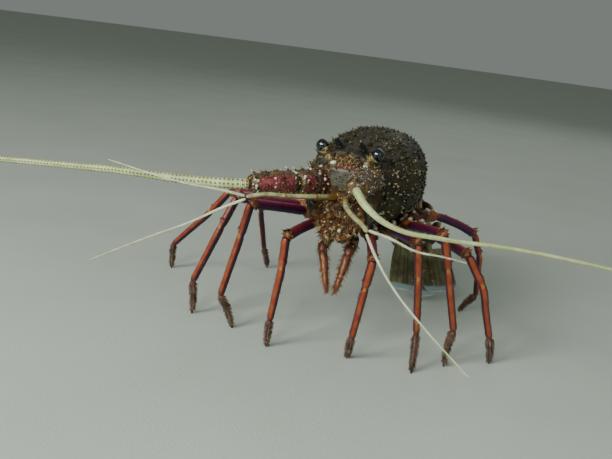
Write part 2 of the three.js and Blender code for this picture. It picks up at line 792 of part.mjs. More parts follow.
add("uropod_r", cutClear(uropod(-1), telson, tailRings[5]), fanOlive, 0.5);
add("uropod_l", cutClear(uropod(1), telson, tailRings[5]), fanOlive, 0.5);

// The origin goes to the floor under the middle of the whole outline
const middle = new THREE.Box3().setFromObject(lobster).getCenter(vec(0, 0, 0));
lobster.position.set(-middle.x, -middle.y, 0);

export default lobster;
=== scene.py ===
import math
import random

import bpy
import numpy as np
from mathutils import Matrix, Vector


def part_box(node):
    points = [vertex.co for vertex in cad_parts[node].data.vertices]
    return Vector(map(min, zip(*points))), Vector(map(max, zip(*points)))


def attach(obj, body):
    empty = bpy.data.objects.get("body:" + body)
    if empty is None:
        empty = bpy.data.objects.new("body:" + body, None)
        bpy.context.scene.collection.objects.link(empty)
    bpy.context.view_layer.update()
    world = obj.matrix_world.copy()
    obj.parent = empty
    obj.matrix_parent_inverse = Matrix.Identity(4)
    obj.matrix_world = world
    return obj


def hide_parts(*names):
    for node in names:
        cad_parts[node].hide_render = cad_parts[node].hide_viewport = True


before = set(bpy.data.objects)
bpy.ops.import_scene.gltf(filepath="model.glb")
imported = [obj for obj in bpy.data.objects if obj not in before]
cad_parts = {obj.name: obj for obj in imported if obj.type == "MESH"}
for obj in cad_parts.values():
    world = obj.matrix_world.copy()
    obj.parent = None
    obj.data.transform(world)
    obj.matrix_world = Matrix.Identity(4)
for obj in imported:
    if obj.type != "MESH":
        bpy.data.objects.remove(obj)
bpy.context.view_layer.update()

# The camera stands low in front of the animal, a little to its left, and is rolled a
# little. The animal's own middle is the middle of its breast plate.
low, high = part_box("sternum")
middle = Vector(((low.x + high.x) / 2, (low.y + high.y) / 2, 0))


def at(x, y, z):
    """A place in millimetres from the animal's middle on the floor, as metres."""
    return Vector((x, y, z)) * 0.001 + middle


turn, drop, roll = math.radians(18), math.radians(14.5), math.radians(7.5)
forward = Vector((-math.sin(turn) * math.cos(drop), math.cos(turn) * math.cos(drop), -math.sin(drop)))
level = Vector((math.cos(turn), math.sin(turn), 0))
upright = level.cross(forward)
right = math.cos(roll) * level + math.sin(roll) * upright
top = math.cos(roll) * upright - math.sin(roll) * level
bpy.ops.object.camera_add()
camera = bpy.context.object
camera.name = "camera"
sensor_width = 36
picture_width = 612
focal_length = 780
camera.data.sensor_width = sensor_width
camera.data.lens = sensor_width * focal_length / picture_width
camera.data.clip_start = 0.01
aim = Matrix((right, top, -forward)).transposed().to_4x4()
camera.matrix_world = Matrix.Translation(at(108, -432, 169.5)) @ aim
bpy.context.scene.camera = camera

# Soft studio light: a broad lamp high in front on the animal's right, a weaker one on its
# left, one behind it, a small one beside the camera for a glint in the eyes, and pale walls.
for name, place, power, size in (
    ("key", (-0.52, -1.1, 0.68), 17, 0.45),
    ("fill", (1.1, -0.8, 0.7), 2.5, 1.0),
    ("rear", (0.2, 1.2, 1.0), 3, 1.2),
    ("glint", (0.02, -0.72, 0.42), 3, 0.2),
):
    bpy.ops.object.light_add(type="AREA", location=place)
    lamp = bpy.context.object
    lamp.name = name
    lamp.data.energy = power
    lamp.data.size = size
    lamp.rotation_euler = (Vector((0, 0, 0.06)) - lamp.location).to_track_quat("-Z", "Y").to_euler()
world = bpy.data.worlds.new("studio")
world.use_nodes = True
walls = world.node_tree.nodes["Background"].inputs
walls["Color"].default_value = (0.76, 0.84, 0.79, 1)
walls["Strength"].default_value = 0.25
bpy.context.scene.world = world


# The floor is one broad pale plate of fine grey-green plaster, cast in one piece and
# rubbed down dull.
class Signal:
    """A value or colour inside a material, so that masks are written as sums."""

    def __init__(self, tree, socket):
        self.tree = tree
        self.socket = socket

    def node(self, kind, settings, inputs, output=0):
        made = self.tree.nodes.new(kind)
        for name, value in settings.items():
            setattr(made, name, value)
        for name, value in inputs.items():
            if isinstance(value, Signal):
                self.tree.links.new(value.socket, made.inputs[name])
            else:
                made.inputs[name].default_value = value
        return Signal(self.tree, made.outputs[output])

    def sum(self, operation, first, second):
        return self.node("ShaderNodeMath", {"operation": operation}, {0: first, 1: second})

    def __add__(self, other):
        return self.sum("ADD", self, other)

    __radd__ = __add__

    def __sub__(self, other):
        return self.sum("SUBTRACT", self, other)

    def __rsub__(self, other):
        return self.sum("SUBTRACT", other, self)

    def __mul__(self, other):
        return self.sum("MULTIPLY", self, other)

    __rmul__ = __mul__

    def __abs__(self):
        return self.sum("ABSOLUTE", self, 0.0)


def finish(name, **sockets):
    """A new material. Returns it with the point on the piece, from which its nodes grow."""
    material = bpy.data.materials.new(name)
    material.use_nodes = True
    shader = material.node_tree.nodes["Principled BSDF"]
    for socket, value in sockets.items():
        shader.inputs[socket.replace("_", " ")].default_value = value
    start = Signal(material.node_tree, None)
    return material, start.node("ShaderNodeTexCoord", {}, {}, "Object")


def noise(place, size, detail=3.0):
    """Cloudy noise from 0 to 1 with patches of about this size in millimetres."""
    return place.node("ShaderNodeTexNoise", {}, {"Vector": place, "Scale": 1000 / size, "Detail": detail}, 0)


def blend(mask, first, second):
    """The first colour where the mask is 0 and the second where it is 1."""
    first, second = (tone if isinstance(tone, Signal) else (*tone, 1) for tone in (first, second))
    return mask.node("ShaderNodeMix", {"data_type": "RGBA"}, {0: mask, 6: first, 7: second}, 2)


def lay(place, colour, roughness, height, depth):
    """Lays colour, gloss and relief on the material; depth is in millimetres."""
    shader = place.tree.nodes["Principled BSDF"]
    normal = place.node("ShaderNodeBump", {}, {"Height": height, "Distance": depth * 0.001}, "Normal")
    for socket, signal in (("Base Color", colour), ("Roughness", roughness), ("Normal", normal)):
        place.tree.links.new(signal.socket, shader.inputs[socket])


bpy.ops.object.select_all(action="DESELECT")
bpy.ops.mesh.primitive_circle_add(vertices=96, radius=6, fill_type="NGON")
floor = bpy.context.object
floor.name = "floor"
plaster, place = finish("plaster")
cloud = noise(place, 90, 6.0)
grit = noise(place, 1.5, 2.0)
tone = blend(cloud, (0.38, 0.44, 0.37), (0.48, 0.53, 0.46))
lay(place, tone, 0.75 + 0.2 * grit, grit, 0.15)
floor.data.materials.append(plaster)


# The shell over the head and breast: one hard dome with a bent groove across it, thorny
# all over, with two long horns standing over the eyes.
def grow(name, stations, sides):
    """A straight bar, extruded ring by ring up the Z axis: height, half width, half depth."""
    bpy.ops.object.select_all(action="DESELECT")
    bpy.ops.mesh.primitive_circle_add(vertices=sides, radius=0.001, fill_type="NGON")
    bar = bpy.context.object
    bar.name = name
    height, wide, deep = stations[0]
    bpy.ops.object.mode_set(mode="EDIT")
    bpy.ops.transform.translate(value=(0, 0, height * 0.001))
    bpy.ops.transform.resize(value=(wide, deep, 1), center_override=(0, 0, 0))
    for (low, wide, deep), (high, wider, deeper) in zip(stations, stations[1:]):
        bpy.ops.mesh.extrude_region_move(TRANSFORM_OT_translate={"value": (0, 0, (high - low) * 0.001)})
        bpy.ops.transform.resize(value=(wider / wide, deeper / deep, 1), center_override=(0, 0, 0))
    bpy.ops.mesh.select_all(action="SELECT")
    bpy.ops.mesh.normals_make_consistent(inside=False)
    bpy.ops.object.mode_set(mode="OBJECT")
    return bar


def pick(piece, *others):
    """Selects these pieces alone, the first of them as the one that is worked on."""
    bpy.ops.object.select_all(action="DESELECT")
    for other in others:
        other.select_set(True)
    piece.select_set(True)
    bpy.context.view_layer.objects.active = piece


def shape(piece, kind, **settings):
    """Adds a modifier to the piece, sets it and applies it."""
    pick(piece)
    bpy.ops.object.modifier_add(type=kind)
    modifier = piece.modifiers[-1]
    for name, value in settings.items():
        setattr(modifier, name, value)
    bpy.ops.object.modifier_apply(modifier=modifier.name)


def soften(piece, levels):
    """Rounds the piece by this many steps of subdivision."""
    shape(piece, "SUBSURF", levels=levels, render_levels=levels)


def points(piece, what="co"):
    """Where the piece's points are, or which way they face, as rows of three numbers."""
    flat = np.zeros(3 * len(piece.data.vertices))
    piece.data.vertices.foreach_get(what, flat)
    return flat.reshape(-1, 3)


def mark(piece, name, values):
    """Keeps one number for each point of the piece, for its material to read."""
    layer = piece.data.attributes.new(name, "FLOAT", "POINT")
    layer.data.foreach_set("value", np.asarray(values, np.float32))


def turned(across, up, along, origin):
    """The placing that turns a bar's X, Y and Z to these directions and sets it at the origin."""
    return Matrix.Translation(origin) @ Matrix((across, up, along)).transposed().to_4x4()


def oval(girths, wide=1, deep=1, size=1):
    """A profile from girths at parts of the way, wider or deeper than they are."""
    return [(part, wide * girth * size, deep * girth * size) for part, girth in girths]


def limb(name, path, profile, sides, levels, spacing=6.0, twist="Z_UP"):
    """A bar bent along a smooth line through the path's points. The profile holds parts of
    the way, with the half width and half depth there in millimetres."""
    bpy.ops.object.select_all(action="DESELECT")
    bpy.ops.curve.primitive_bezier_curve_add()
    wire = bpy.context.object
    knots = wire.data.splines[0].bezier_points
    knots.add(len(path) - 2)
    for knot, point in zip(knots, path):
        knot.co = point
        knot.handle_left_type = "AUTO"
        knot.handle_right_type = "AUTO"
    wire.data.twist_mode = twist
    wire.data.resolution_u = 24
    length = 1000 * wire.data.splines[0].calc_length()
    stations = [(profile[0][0] * length, profile[0][1], profile[0][2])]
    for before, after in zip(profile, profile[1:]):
        many = max(1, round((after[0] - before[0]) * length / spacing))
        for k in range(1, many + 1):
            part, wide, deep = (old + (new - old) * k / many for old, new in zip(before, after))
            stations.append((part * length, wide, deep))
    bar = grow(name, stations, sides)
    soften(bar, levels)
    mark(bar, "along", points(bar)[:, 2] / (0.001 * length))
    shape(bar, "CURVE", object=wire, deform_axis="POS_Z")
    bpy.data.objects.remove(wire)
    facing = points(bar, "normal")
    mark(bar, "ahead", -facing[:, 1])
    mark(bar, "crown", facing[:, 2])
    return bar


def plant(carrier, *kinds):
    """Sets copies of sprigs on the carrier, each where a line meets its skin, and joins them
    to it. Each kind is the sprig and its seats, and a seat is the line's start and way, then
    lean, length and girth."""
    bpy.context.view_layer.update()
    crops = []
    for sprig, seats in kinds:
        shaft = points(sprig)
        faces = [list(face.vertices) for face in sprig.data.polygons]
        stems = []
        for start, way, lean, length, girth in seats:
            hit, foot, normal = carrier.ray_cast(start, way)[:3]
            if hit:
                along = (normal + lean).normalized()
                across = along.orthogonal().normalized()
                stretch = Matrix.Diagonal((girth, girth, length, 1))
                placing = np.array(turned(across, along.cross(across), along, foot) @ stretch)
                stems.append(shaft @ placing[:3, :3].T + placing[:3, 3])
        crop = bpy.data.objects.new("crop", bpy.data.meshes.new("crop"))
        shifted = [[corner + k * len(shaft) for corner in face] for k in range(len(stems)) for face in faces]
        crop.data.from_pydata(np.concatenate(stems), [], shifted)
        for layer in ("tip", "hair", "pale"):
            if layer in sprig.data.attributes:
                one = np.zeros(len(shaft), np.float32)
                sprig.data.attributes[layer].data.foreach_get("value", one)
                mark(crop, layer, np.tile(one, len(stems)))
        bpy.context.scene.collection.objects.link(crop)
        crops.append(crop)
    join(carrier, crops)


def join(carrier, others):
    """Makes the others part of the carrier."""
    pick(carrier, *others)
    bpy.ops.object.join()


crease = 50


def settle(piece, node, slot, *materials):
    """The finished piece rides on the model and stands for its solid."""
    piece.name = node + "_shape"
    for material in materials:
        piece.data.materials.append(material)
    pick(piece)
    bpy.ops.object.shade_smooth_by_angle(angle=math.radians(crease))
    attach(piece, "root")
    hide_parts(node)


def grains(place, size, randomness=1.0):
    """Distance from the nearest of many scattered grains, 0 at a grain's middle."""
    inputs = {"Vector": place, "Scale": 1000 / size, "Randomness": randomness}
    return place.node("ShaderNodeTexVoronoi", {}, inputs, "Distance")


def step(value, start, end):
    """Rises softly from 0 to 1 while the value goes from start to end."""
    inputs = {"Value": value, "From Min": start, "From Max": end}
    return value.node("ShaderNodeMapRange", {"interpolation_type": "SMOOTHSTEP"}, inputs, 0)


def skin(name, patch, grit, **sockets):
    """A new material with cloudy noise in patches and in grit of these sizes."""
    material, place = finish(name, **sockets)
    return material, place, noise(place, patch, 5.0), noise(place, grit)


def value(place, name):
    """The number that the piece keeps at each point under this name."""
    return place.node("ShaderNodeAttribute", {"attribute_name": name}, {}, "Fac")


def shell_seat(y, lift, lean, length, girth, side=1):
    """A seat this far back on the shell and this many degrees up from its side."""
    lift = math.radians(lift)
    way = Vector((side * math.cos(lift), 0, math.sin(lift)))
    return at(0, y, shell_middle), way, Vector(lean), length, girth


def front_seat(x, z, lean, length, girth):
    """A seat where a line from in front of the animal meets its skin."""
    return at(x, in_front, z), -ahead, Vector(lean), length, girth


ahead, upward, leftward = Vector((0, -1, 0)), Vector((0, 0, 1)), Vector((1, 0, 0))
in_front = -70
between = random.uniform
random.seed(41)
sizes = ((-0.3, 0.34), (0, 0.31), (0.25, 0.22), (0.6, 0.11), (1, 0.012))
spine = grow("spine", oval(sizes), 6)
mark(spine, "tip", np.clip(points(spine)[:, 2] * 1000, 0, 1))
bristle = grow("bristle", [(-0.1, 1, 1), (0.5, 0.8, 0.8), (1, 0.15, 0.15)], 4)
mark(bristle, "hair", np.ones(len(bristle.data.vertices)))
mark(bristle, "tip", np.clip(points(bristle)[:, 2] * 1000, 0, 1))
sizes = ((-0.3, 0.4), (0, 0.48), (0.2, 0.46), (0.36, 0.36), (0.46, 0.2), (0.49, 0.05))
knob = grow("knob", oval(sizes, deep=0.9), 8)
mark(knob, "pale", np.ones(len(knob.data.vertices)))
for sprig in (spine, bristle, knob):
    sprig.users_collection[0].objects.unlink(sprig)

shell_middle = 88
outline = [
    (-46, 18.6, 21), (-45.2, 19.8, 22.3), (-42, 21.2, 22.9), (-36, 23.5, 24), (-22, 26.5, 26.5),
    (-12, 27.7, 27.6), (-8.5, 27.4, 27.3), (-6, 26.1, 26), (-3.5, 27.3, 27.3), (1, 28.8, 28.8),
    (8, 29.5, 29.5), (24, 29.5, 29.5), (38, 27.5, 27.5), (42, 26.2, 26.2), (43.2, 25.4, 25.6),
    (44.4, 26.3, 26.4), (45.6, 25.8, 26), (46, 23, 24),
]
shell = grow("carapace", outline, 40)
place = points(shell)
reach, halves, tops = (np.array(row) for row in zip(*outline))
aside = place[:, 0] / np.interp(place[:, 2] * 1000, reach, halves) * 1000
rise = place[:, 1] / np.interp(place[:, 2] * 1000, reach, tops) * 1000
floorward = rise < 0
aside = np.sign(aside) * np.abs(aside) ** np.where(floorward, 0.6, 0.88)
rise = np.sign(rise) * np.abs(rise) ** np.where(floorward, 0.6, 0.88)
sweep = 9 * np.exp(-(((place[:, 2] * 1000 + 6) / 17) ** 2)) * (1 - np.maximum(0, rise))
place[:, 0] = aside * np.interp(place[:, 2] * 1000, reach, halves) * 0.001
place[:, 1] = rise * np.where(floorward, 18.7, np.interp(place[:, 2] * 1000, reach, tops)) * 0.001
place[:, 2] -= sweep * 0.001
shell.data.vertices.foreach_set("co", place.ravel())
soften(shell, 3)
pebbles = bpy.data.textures.new("pebbles", "VORONOI")
pebbles.noise_scale = 0.0034
shape(shell, "DISPLACE", texture=pebbles, strength=-0.0009, mid_level=0.35)
swell = bpy.data.textures.new("swell", "CLOUDS")
swell.noise_scale = 0.011
shape(shell, "DISPLACE", texture=swell, strength=0.0012, mid_level=0.5)
shell.data.transform(turned(-leftward, upward, -ahead, at(0, 0, shell_middle)))

thorns = []
hairs = []
studs = []
for side in (-1, 1):
    for row in range(6):
        for k in range(7):
            y = -46 + 92 * (0.07 + 0.88 * (k + row % 2 * 0.5) / 7)
            lift = 77 - 19 * row + between(-3, 3)
            beside_eyes = y < -33 and 0.6 < math.radians(lift) < 1.3
            if not beside_eyes:
                length = max(2.6, 5.4 - 0.045 * (y + 46)) * between(0.85, 1.15)
                thorns.append(shell_seat(y, lift, (0, -0.95, 0.2), length, 0.9 * length, side))
for k in range(580):
    y, lift, length = between(-44, 44), between(-28, 208), between(0.9, 2.3)
    thorns.append(shell_seat(y, lift, (0, -0.7, 0.1), length, length * between(0.9, 1.5)))
for k in range(900):
    y, lift = between(-45, 44), between(-28, 208)
    hairs.append(shell_seat(y, lift, (between(-0.4, 0.4), -1.3, 0.2), between(1.2, 2.4), 0.1))
for k in range(340):
    x, z, length = between(-23, 23), between(66, 114), between(0.7, 1.9)
    thorns.append(front_seat(x, z, (0, 0, 0.4), length, 1.1 * length))
for k in range(90):
    x, z, length = between(-21, 21), between(66, 113), between(0.6, 1.4)
    studs.append(front_seat(x, z, (0, 0, 0.2), length, length))
for k in range(120):
    y, side = -44 + 60 * random.random() ** 1.6, random.choice((-1, 1))
    lift, length = between(-22, 66), between(0.9, 2.1)
    studs.append(shell_seat(y, lift, (0, -0.4, 0.1), length, length, side))
plant(shell, (spine, thorns), (bristle, hairs), (knob, studs))

horns = []
for side in (-1, 1):
    path = [
        at(side * 6.3, -37.5, 107.5), at(side * 6.4, -40.5, 110.4),
        at(side * 6.7, -45.2, 113.9), at(side * 6.5, -50, 117.4),
    ]
    profile = [
        (0, 3.5, 3.5), (0.2, 3.1, 3.1), (0.45, 2.3, 2.2), (0.75, 1.4, 1.3), (0.93, 0.6, 0.6), (1, 0.2, 0.2),
    ]
    horns.append(limb("horn", path, profile, 16, 2, 4))

crust, place, cloud, fine = skin("shell crust", 14, 1.1, Specular_IOR_Level=0.25)
fleck = grains(place, 2.3)
speck = grains(place, 0.9)
top_shade_height = place.node("ShaderNodeSeparateXYZ", {}, {"Vector": place}, "Z")
tone = blend(step(cloud, 0.35, 0.7), (0.014, 0.013, 0.006), (0.052, 0.043, 0.017))
tone = blend(step(noise(place, 7), 0.55, 0.75), tone, (0.060, 0.019, 0.008))
tone = blend((1 - step(fleck, 0.12, 0.3)) * step(noise(place, 5), 0.45, 0.62), tone, (0.13, 0.145, 0.085))
tone = blend((1 - step(speck, 0.1, 0.35)) * 0.4, tone, (0.085, 0.080, 0.045))
pale = blend(step(noise(place, 9), 0.42, 0.6), (0.17, 0.18, 0.11), (0.36, 0.33, 0.18))
tone = blend(step(value(place, "tip"), 0.3, 0.8) + 0.9 * value(place, "pale"), tone, pale)
tone = blend(value(place, "hair"), tone, (0.13, 0.10, 0.045))
# Painted shade: the top of the shell, above a set height, is darkened to stand for the top getting less
# light than the front.
tone = blend(0.6 * step(top_shade_height, 0.094, 0.112), tone, (0.020, 0.018, 0.009))
height = fine + 0.6 * step(fleck, 0.1, 0.5) + 0.3 * speck
lay(place, tone, 0.34 + 0.35 * fine, height, 0.3)

horn_skin, place = finish("horn skin")
stripe = noise(place, 2.2, 4.0)
along = value(place, "along")
tone = blend(step(along + 0.25 * stripe, 0.3, 0.65), (0.075, 0.058, 0.026), (0.010, 0.011, 0.013))
tone = blend(step(along, 0.88, 0.99), tone, (0.22, 0.20, 0.12))
tone = blend(step(grains(place, 1.6), 0.3, 0.1) * (1 - step(along, 0.5, 0.8)), tone, (0.24, 0.23, 0.13))
lay(place, tone, 0.32 + 0.3 * stripe, stripe, 0.3)
for horn in horns:
    horn.data.materials.append(horn_skin)
shell.data.materials.append(crust)
join(shell, horns)
settle(shell, "carapace", "shell")


# The eyes: glossy black balls on short jointed stalks, each in a mottled ring, turned
# outward from the notch beside their horn.
jet, place = finish("eye jet", Coat_Weight=0.6, Coat_Roughness=0.1, Specular_IOR_Level=0.5)
facets = grains(place, 0.16, 0.2)
tone = blend(noise(place, 3), (0.001, 0.002, 0.003), (0.005, 0.008, 0.011))
lay(place, tone, 0.16 + 0.05 * facets, facets, 0.01)
stalk_skin, place = finish("stalk skin")
mottle = noise(place, 1.8, 4.0)
tone = blend(step(mottle, 0.42, 0.64), (0.050, 0.034, 0.012), (0.30, 0.23, 0.075))
ring = step(value(place, "along"), 0.72, 0.76)
tone = blend(ring, tone, blend(step(mottle, 0.4, 0.6), (0.05, 0.04, 0.015), (0.22, 0.21, 0.09)))
lay(place, tone, 0.35 + 0.2 * mottle, mottle, 0.15)
for side, node in ((-1, "eye_r"), (1, "eye_l")):
    bpy.ops.object.select_all(action="DESELECT")
    bpy.ops.mesh.primitive_uv_sphere_add(segments=40, ring_count=24, radius=0.0035)
    eye = bpy.context.object
    eye.name = node
    bpy.ops.object.mode_set(mode="EDIT")
    bpy.ops.transform.resize(value=(1.0, 0.96, 1.04))
    bpy.ops.object.mode_set(mode="OBJECT")
    heart = at(side * 15, -44, 110.5)
    eye.data.transform(Matrix.Translation(heart))
    eye.data.materials.append(jet)
    root = at(side * 8.6, -43.6, 102.6)
    path = [root, root.lerp(heart, 0.5) + Vector((0, -0.0004, 0.0002)), heart]
    girths = [
        (0, 2.5), (0.3, 2.4), (0.42, 1.9), (0.5, 1.9), (0.6, 2.3), (0.7, 2.9), (0.75, 3.2), (0.79, 3.3),
        (0.81, 3.1), (0.84, 2.2), (0.9, 1),
    ]
    stalk = limb("stalk", path, oval(girths), 20, 2, 1)
    stalk.data.materials.append(stalk_skin)
    join(eye, [stalk])
    settle(eye, node, "eye")


# The face: a grey shield between the feelers, a red brow over it with a mint spot on each
# side, the mouth plate, and the two jaws. All of it is hard skin joined at soft seams.
face = grow("head_front", [
    (0, 12.5, 13), (1.2, 12.6, 13), (3, 11.6, 11.8), (4.4, 9.6, 9.8), (5.0, 8.4, 8.6), (4.9, 7.6, 7.8),
    (5.0, 6.9, 7.1), (5.8, 6.0, 6.3), (6.3, 4.2, 4.6), (6.5, 2, 2.4),
], 24)
soften(face, 3)
face.data.transform(turned(leftward, upward, ahead, at(0, -46.3, 96)))
mouth = grow("mouth", [
    (0, 15, 11), (1, 15, 11), (2.5, 13.2, 10), (3.6, 10.4, 8), (3.9, 9.2, 7), (3.8, 8.2, 6.2),
    (4.4, 6.6, 5.2), (4.9, 4, 3.4), (5, 2, 2),
], 24)
soften(mouth, 3)
mouth.data.transform(turned(leftward, upward, ahead, at(0, -46.3, 76)))
jaws = []
for side in (-1, 1):
    jaw = grow("jaw", [
        (-6.3, 0.8, 0.9), (-5, 2.6, 2.8), (-2, 4.0, 4.2), (1.5, 4.2, 4.4), (4, 3.2, 3.6), (5.6, 1.8, 2.2),
        (6.3, 0.6, 0.8),
    ], 16)
    soften(jaw, 2)
    jaw.data.transform(turned(leftward, -ahead, upward, at(side * 4.3, -48.9, 68)))
    jaws.append(jaw)
join(face, [mouth] + jaws)
knots = []
studs = []
tufts = []
for k in range(380):
    x, z = between(-12.3, 12.3), between(61, 108.5)
    on_shield = abs(x) < 5 and 91 < z < 104
    if not on_shield:
        length = between(0.7, 2.1)
        knots.append(front_seat(x, z, (0, -0.5, -0.2), length, length * between(0.8, 1.2)))
for seats, many, lengths, wide, heights, lean in (
    (knots, 130, (0.5, 1.3), 10, (103.5, 108.8), (0, -0.5, 0.3)),
    (knots, 90, (0.4, 0.9), 5, (90, 99), (0, -0.6, 0)),
    (studs, 60, (0.6, 1.5), 11, (62, 89), (0, -0.6, 0)),
    (studs, 70, (0.6, 1.3), 9, (102, 108.5), (0, -0.4, 0.2)),
):
    for k in range(many):
        length = between(*lengths)
        seats.append(front_seat(between(-wide, wide), between(*heights), lean, length, length))
for side in (-1, 1):
    for x, z, length in ((3.4, 101, 2.8), (2.6, 96, 2.2), (5.6, 91.5, 2.2), (8.8, 99, 2.4)):
        knots.append(front_seat(side * x, z, (0, -1, 0.5), length, 0.7 * length))
chin = ((-0.7, 69.7, 3.2), (3.2, 69.7, 3.4), (-8.9, 67, 3.6), (-3.5, 65, 2.8), (9.1, 67.5, 3.4))
for x, z, length in chin:
    studs.append(front_seat(x, z, (0, -0.8, 0), length, 0.8 * length))
for k in range(125):
    x, z = between(-12, 12), between(61, 86)
    for hair in range(8):
        spread = Vector((between(-0.7, 0.7), -0.6, between(-0.8, 0.5)))
        lean = Vector((0.07 * x, 0, 0.05 * (z - 78))) + spread
        beside, above = x + between(-0.6, 0.6), z + between(-0.6, 0.6)
        tufts.append(front_seat(beside, above, lean, between(1.6, 4.0), between(0.12, 0.26)))
plant(face, (spine, knots), (bristle, tufts), (knob, studs))

face_skin, place, cloud, fine = skin("face skin", 5, 1.3, Specular_IOR_Level=0.3)
width = place.node("ShaderNodeSeparateXYZ", {}, {"Vector": place}, "X")
tallness = place.node("ShaderNodeSeparateXYZ", {}, {"Vector": place}, "Z")
aside = abs(width - middle.x)
inputs = {"Vector": place, "Scale": 260, "Distortion": 6, "Detail": 3}
swirl = place.node("ShaderNodeTexWave", {"wave_type": "RINGS"}, inputs, "Fac")
hair = value(place, "hair")
brown = blend(step(cloud, 0.4, 0.62), (0.020, 0.014, 0.006), (0.082, 0.041, 0.013))
brown = blend(step(noise(place, 1.6), 0.56, 0.66) * 0.8, brown, (0.17, 0.13, 0.055))
grey = blend(step(cloud, 0.4, 0.6), (0.028, 0.024, 0.014), (0.072, 0.064, 0.038))
grey = blend(step(swirl, 0.66, 0.85) * 0.5, grey, (0.09, 0.12, 0.095))
grey = blend(step(noise(place, 2), 0.6, 0.68) * 0.7, grey, (0.12, 0.030, 0.032))
shield = (1 - step(aside, 0.0052, 0.0068)) * step(tallness, 0.091, 0.0935)
shield = shield * (1 - step(tallness, 0.1005, 0.1015))
tone = blend(shield, brown, grey)
rim = (1 - step(aside, 0.0055, 0.0065)) * (1 - step(abs(tallness - 0.1009), 0.0003, 0.0007))
tone = blend(rim * 0.6, tone, (0.17, 0.20, 0.16))
brow = (1 - step(aside, 0.0048, 0.0062)) * (1 - step(abs(tallness - 0.1028), 0.0009, 0.0016))
tone = blend(brow * step(cloud, 0.25, 0.4), tone, (0.075, 0.010, 0.006))
fleck = (1 - step(grains(place, 2.4), 0.1, 0.26)) * step(noise(place, 6), 0.5, 0.62)
tone = blend(fleck, tone, (0.34, 0.29, 0.14))
low_down = 1 - step(tallness, 0.083, 0.089)
tone = blend(low_down * step(noise(place, 2.2), 0.54, 0.64), tone, (0.24, 0.095, 0.022))
tip_tone = blend(low_down, (0.20, 0.15, 0.08), (0.34, 0.22, 0.10))
tone = blend(step(value(place, "tip"), 0.3, 0.8) * (1 - hair), tone, tip_tone)
tone = blend(value(place, "pale"), tone, blend(low_down, (0.24, 0.17, 0.055), (0.50, 0.45, 0.28)))
tuft = blend(step(noise(place, 3.0), 0.40, 0.52), (0.032, 0.018, 0.008), (0.19, 0.075, 0.020))
tone = blend(hair, tone, blend(step(noise(place, 3.5), 0.51, 0.63), tuft, (0.46, 0.38, 0.19)))
lay(place, tone, 0.50 + 0.3 * fine, fine + 0.4 * cloud, 0.4)
mint, place = finish("mint spot", Coat_Weight=0.4)
cloud = noise(place, 1.2, 2.0)
tone = blend(cloud, (0.46, 0.62, 0.46), (0.68, 0.78, 0.60))
lay(place, tone, 0.3 + 0.2 * cloud, cloud, 0.1)
bpy.context.view_layer.update()
spots = []
for x, z, tilt in ((-5.8, 103.9, 0.25), (9.9, 103.9, 0.1)):
    spot = grow("spot", [(-2.5, 1.5, 0.8), (0, 1.9, 1.05), (0.5, 1.6, 0.85), (0.75, 0.8, 0.4)], 16)
    soften(spot, 2)
    hit, foot = face.ray_cast(at(x, in_front, z), -ahead)[:2]
    if not hit:
        foot = at(x, -46.8, z)
    across = Vector((math.cos(tilt), 0, math.sin(tilt)))
    spot.data.transform(turned(across, ahead.cross(across), ahead, foot + ahead * 0.0004))
    spot.data.materials.append(mint)
    spots.append(spot)
face.data.materials.append(face_skin)
join(face, spots)
settle(face, "head_front", "face_plate")


# The feet of the two long feelers: short barrel joints as thick as a finger, brown at the
# seams, with rosy stippled pads on top and white-tipped thorns in rings.
def along_path(path, part):
    """The point this part of the way along a bent line, and the line's heading there."""
    lengths = [(b - a).length for a, b in zip(path, path[1:])]
    rest = part * sum(lengths)
    for start, end, length in zip(path, path[1:], lengths):
        if rest <= length or end is path[-1]:
            return start.lerp(end, min(1.0, rest / length)), (end - start).normalized()
        rest -= length


def seat(path, part, lift, lean, length, girth):
    """A seat part of the way along a limb, and this far round it from its side over its top."""
    start, heading = along_path(path, part)
    side = heading.cross(upward).normalized()
    way = side * math.cos(math.radians(lift)) + side.cross(heading) * math.sin(math.radians(lift))
    return start, way, heading * lean, length, girth


def brush(path, many, parts, lifts, lean, lengths, girth, rows=None):
    """Seats for hairs along a limb, in rows at these turns round it, or all round it."""
    seats = []
    for k in range(many):
        part = between(*parts)
        row = random.choice(rows) if rows else 0
        seats.append(seat(path, part, row + between(*lifts), lean, between(*lengths), girth))
    return seats


def thicket(path, many, lengths, parts, lean, stoutness):
    """Seats for small thorns scattered round a limb between these parts of the way."""
    seats = []
    for k in range(many):
        length = between(*lengths)
        seats.append(seat(path, between(*parts), between(*all_round), lean, length, stoutness * length))
    return seats


all_round = (0, 360)
pad_skin, place, cloud, fine = skin("feeler foot skin", 6, 1.2, Specular_IOR_Level=0.4)
stipple = grains(place, 1.15, 0.5)
brown = blend(step(cloud, 0.35, 0.65), (0.022, 0.016, 0.007), (0.072, 0.044, 0.014))
brown = blend(step(noise(place, 1.7), 0.55, 0.66) * 0.8, brown, (0.17, 0.13, 0.055))
rose = blend(step(noise(place, 4), 0.35, 0.7), (0.10, 0.013, 0.018), (0.24, 0.042, 0.050))
rose = blend((1 - step(stipple, 0.12, 0.36)) * 0.7, rose, (0.42, 0.26, 0.20))
pad = step(value(place, "pad") + 0.4 * cloud, 0.62, 0.8)
tone = blend(pad, brown, rose)
tone = blend(step(noise(place, 3.2), 0.6, 0.68) * (1 - pad), tone, (0.34, 0.15, 0.03))
tip_tone = blend(step(noise(place, 5), 0.45, 0.6), (0.26, 0.16, 0.09), (0.66, 0.60, 0.48))
tone = blend(step(value(place, "tip"), 0.3, 0.75), tone, tip_tone)
knob_tone = blend(step(cloud, 0.4, 0.6), (0.34, 0.29, 0.16), (0.58, 0.56, 0.44))
tone = blend(value(place, "pale"), tone, knob_tone)
tone = blend(value(place, "hair"), tone, (0.17, 0.11, 0.045))
lay(place, tone, 0.34 + 0.25 * fine, fine - 0.5 * step(stipple, 0.1, 0.4), 0.3)

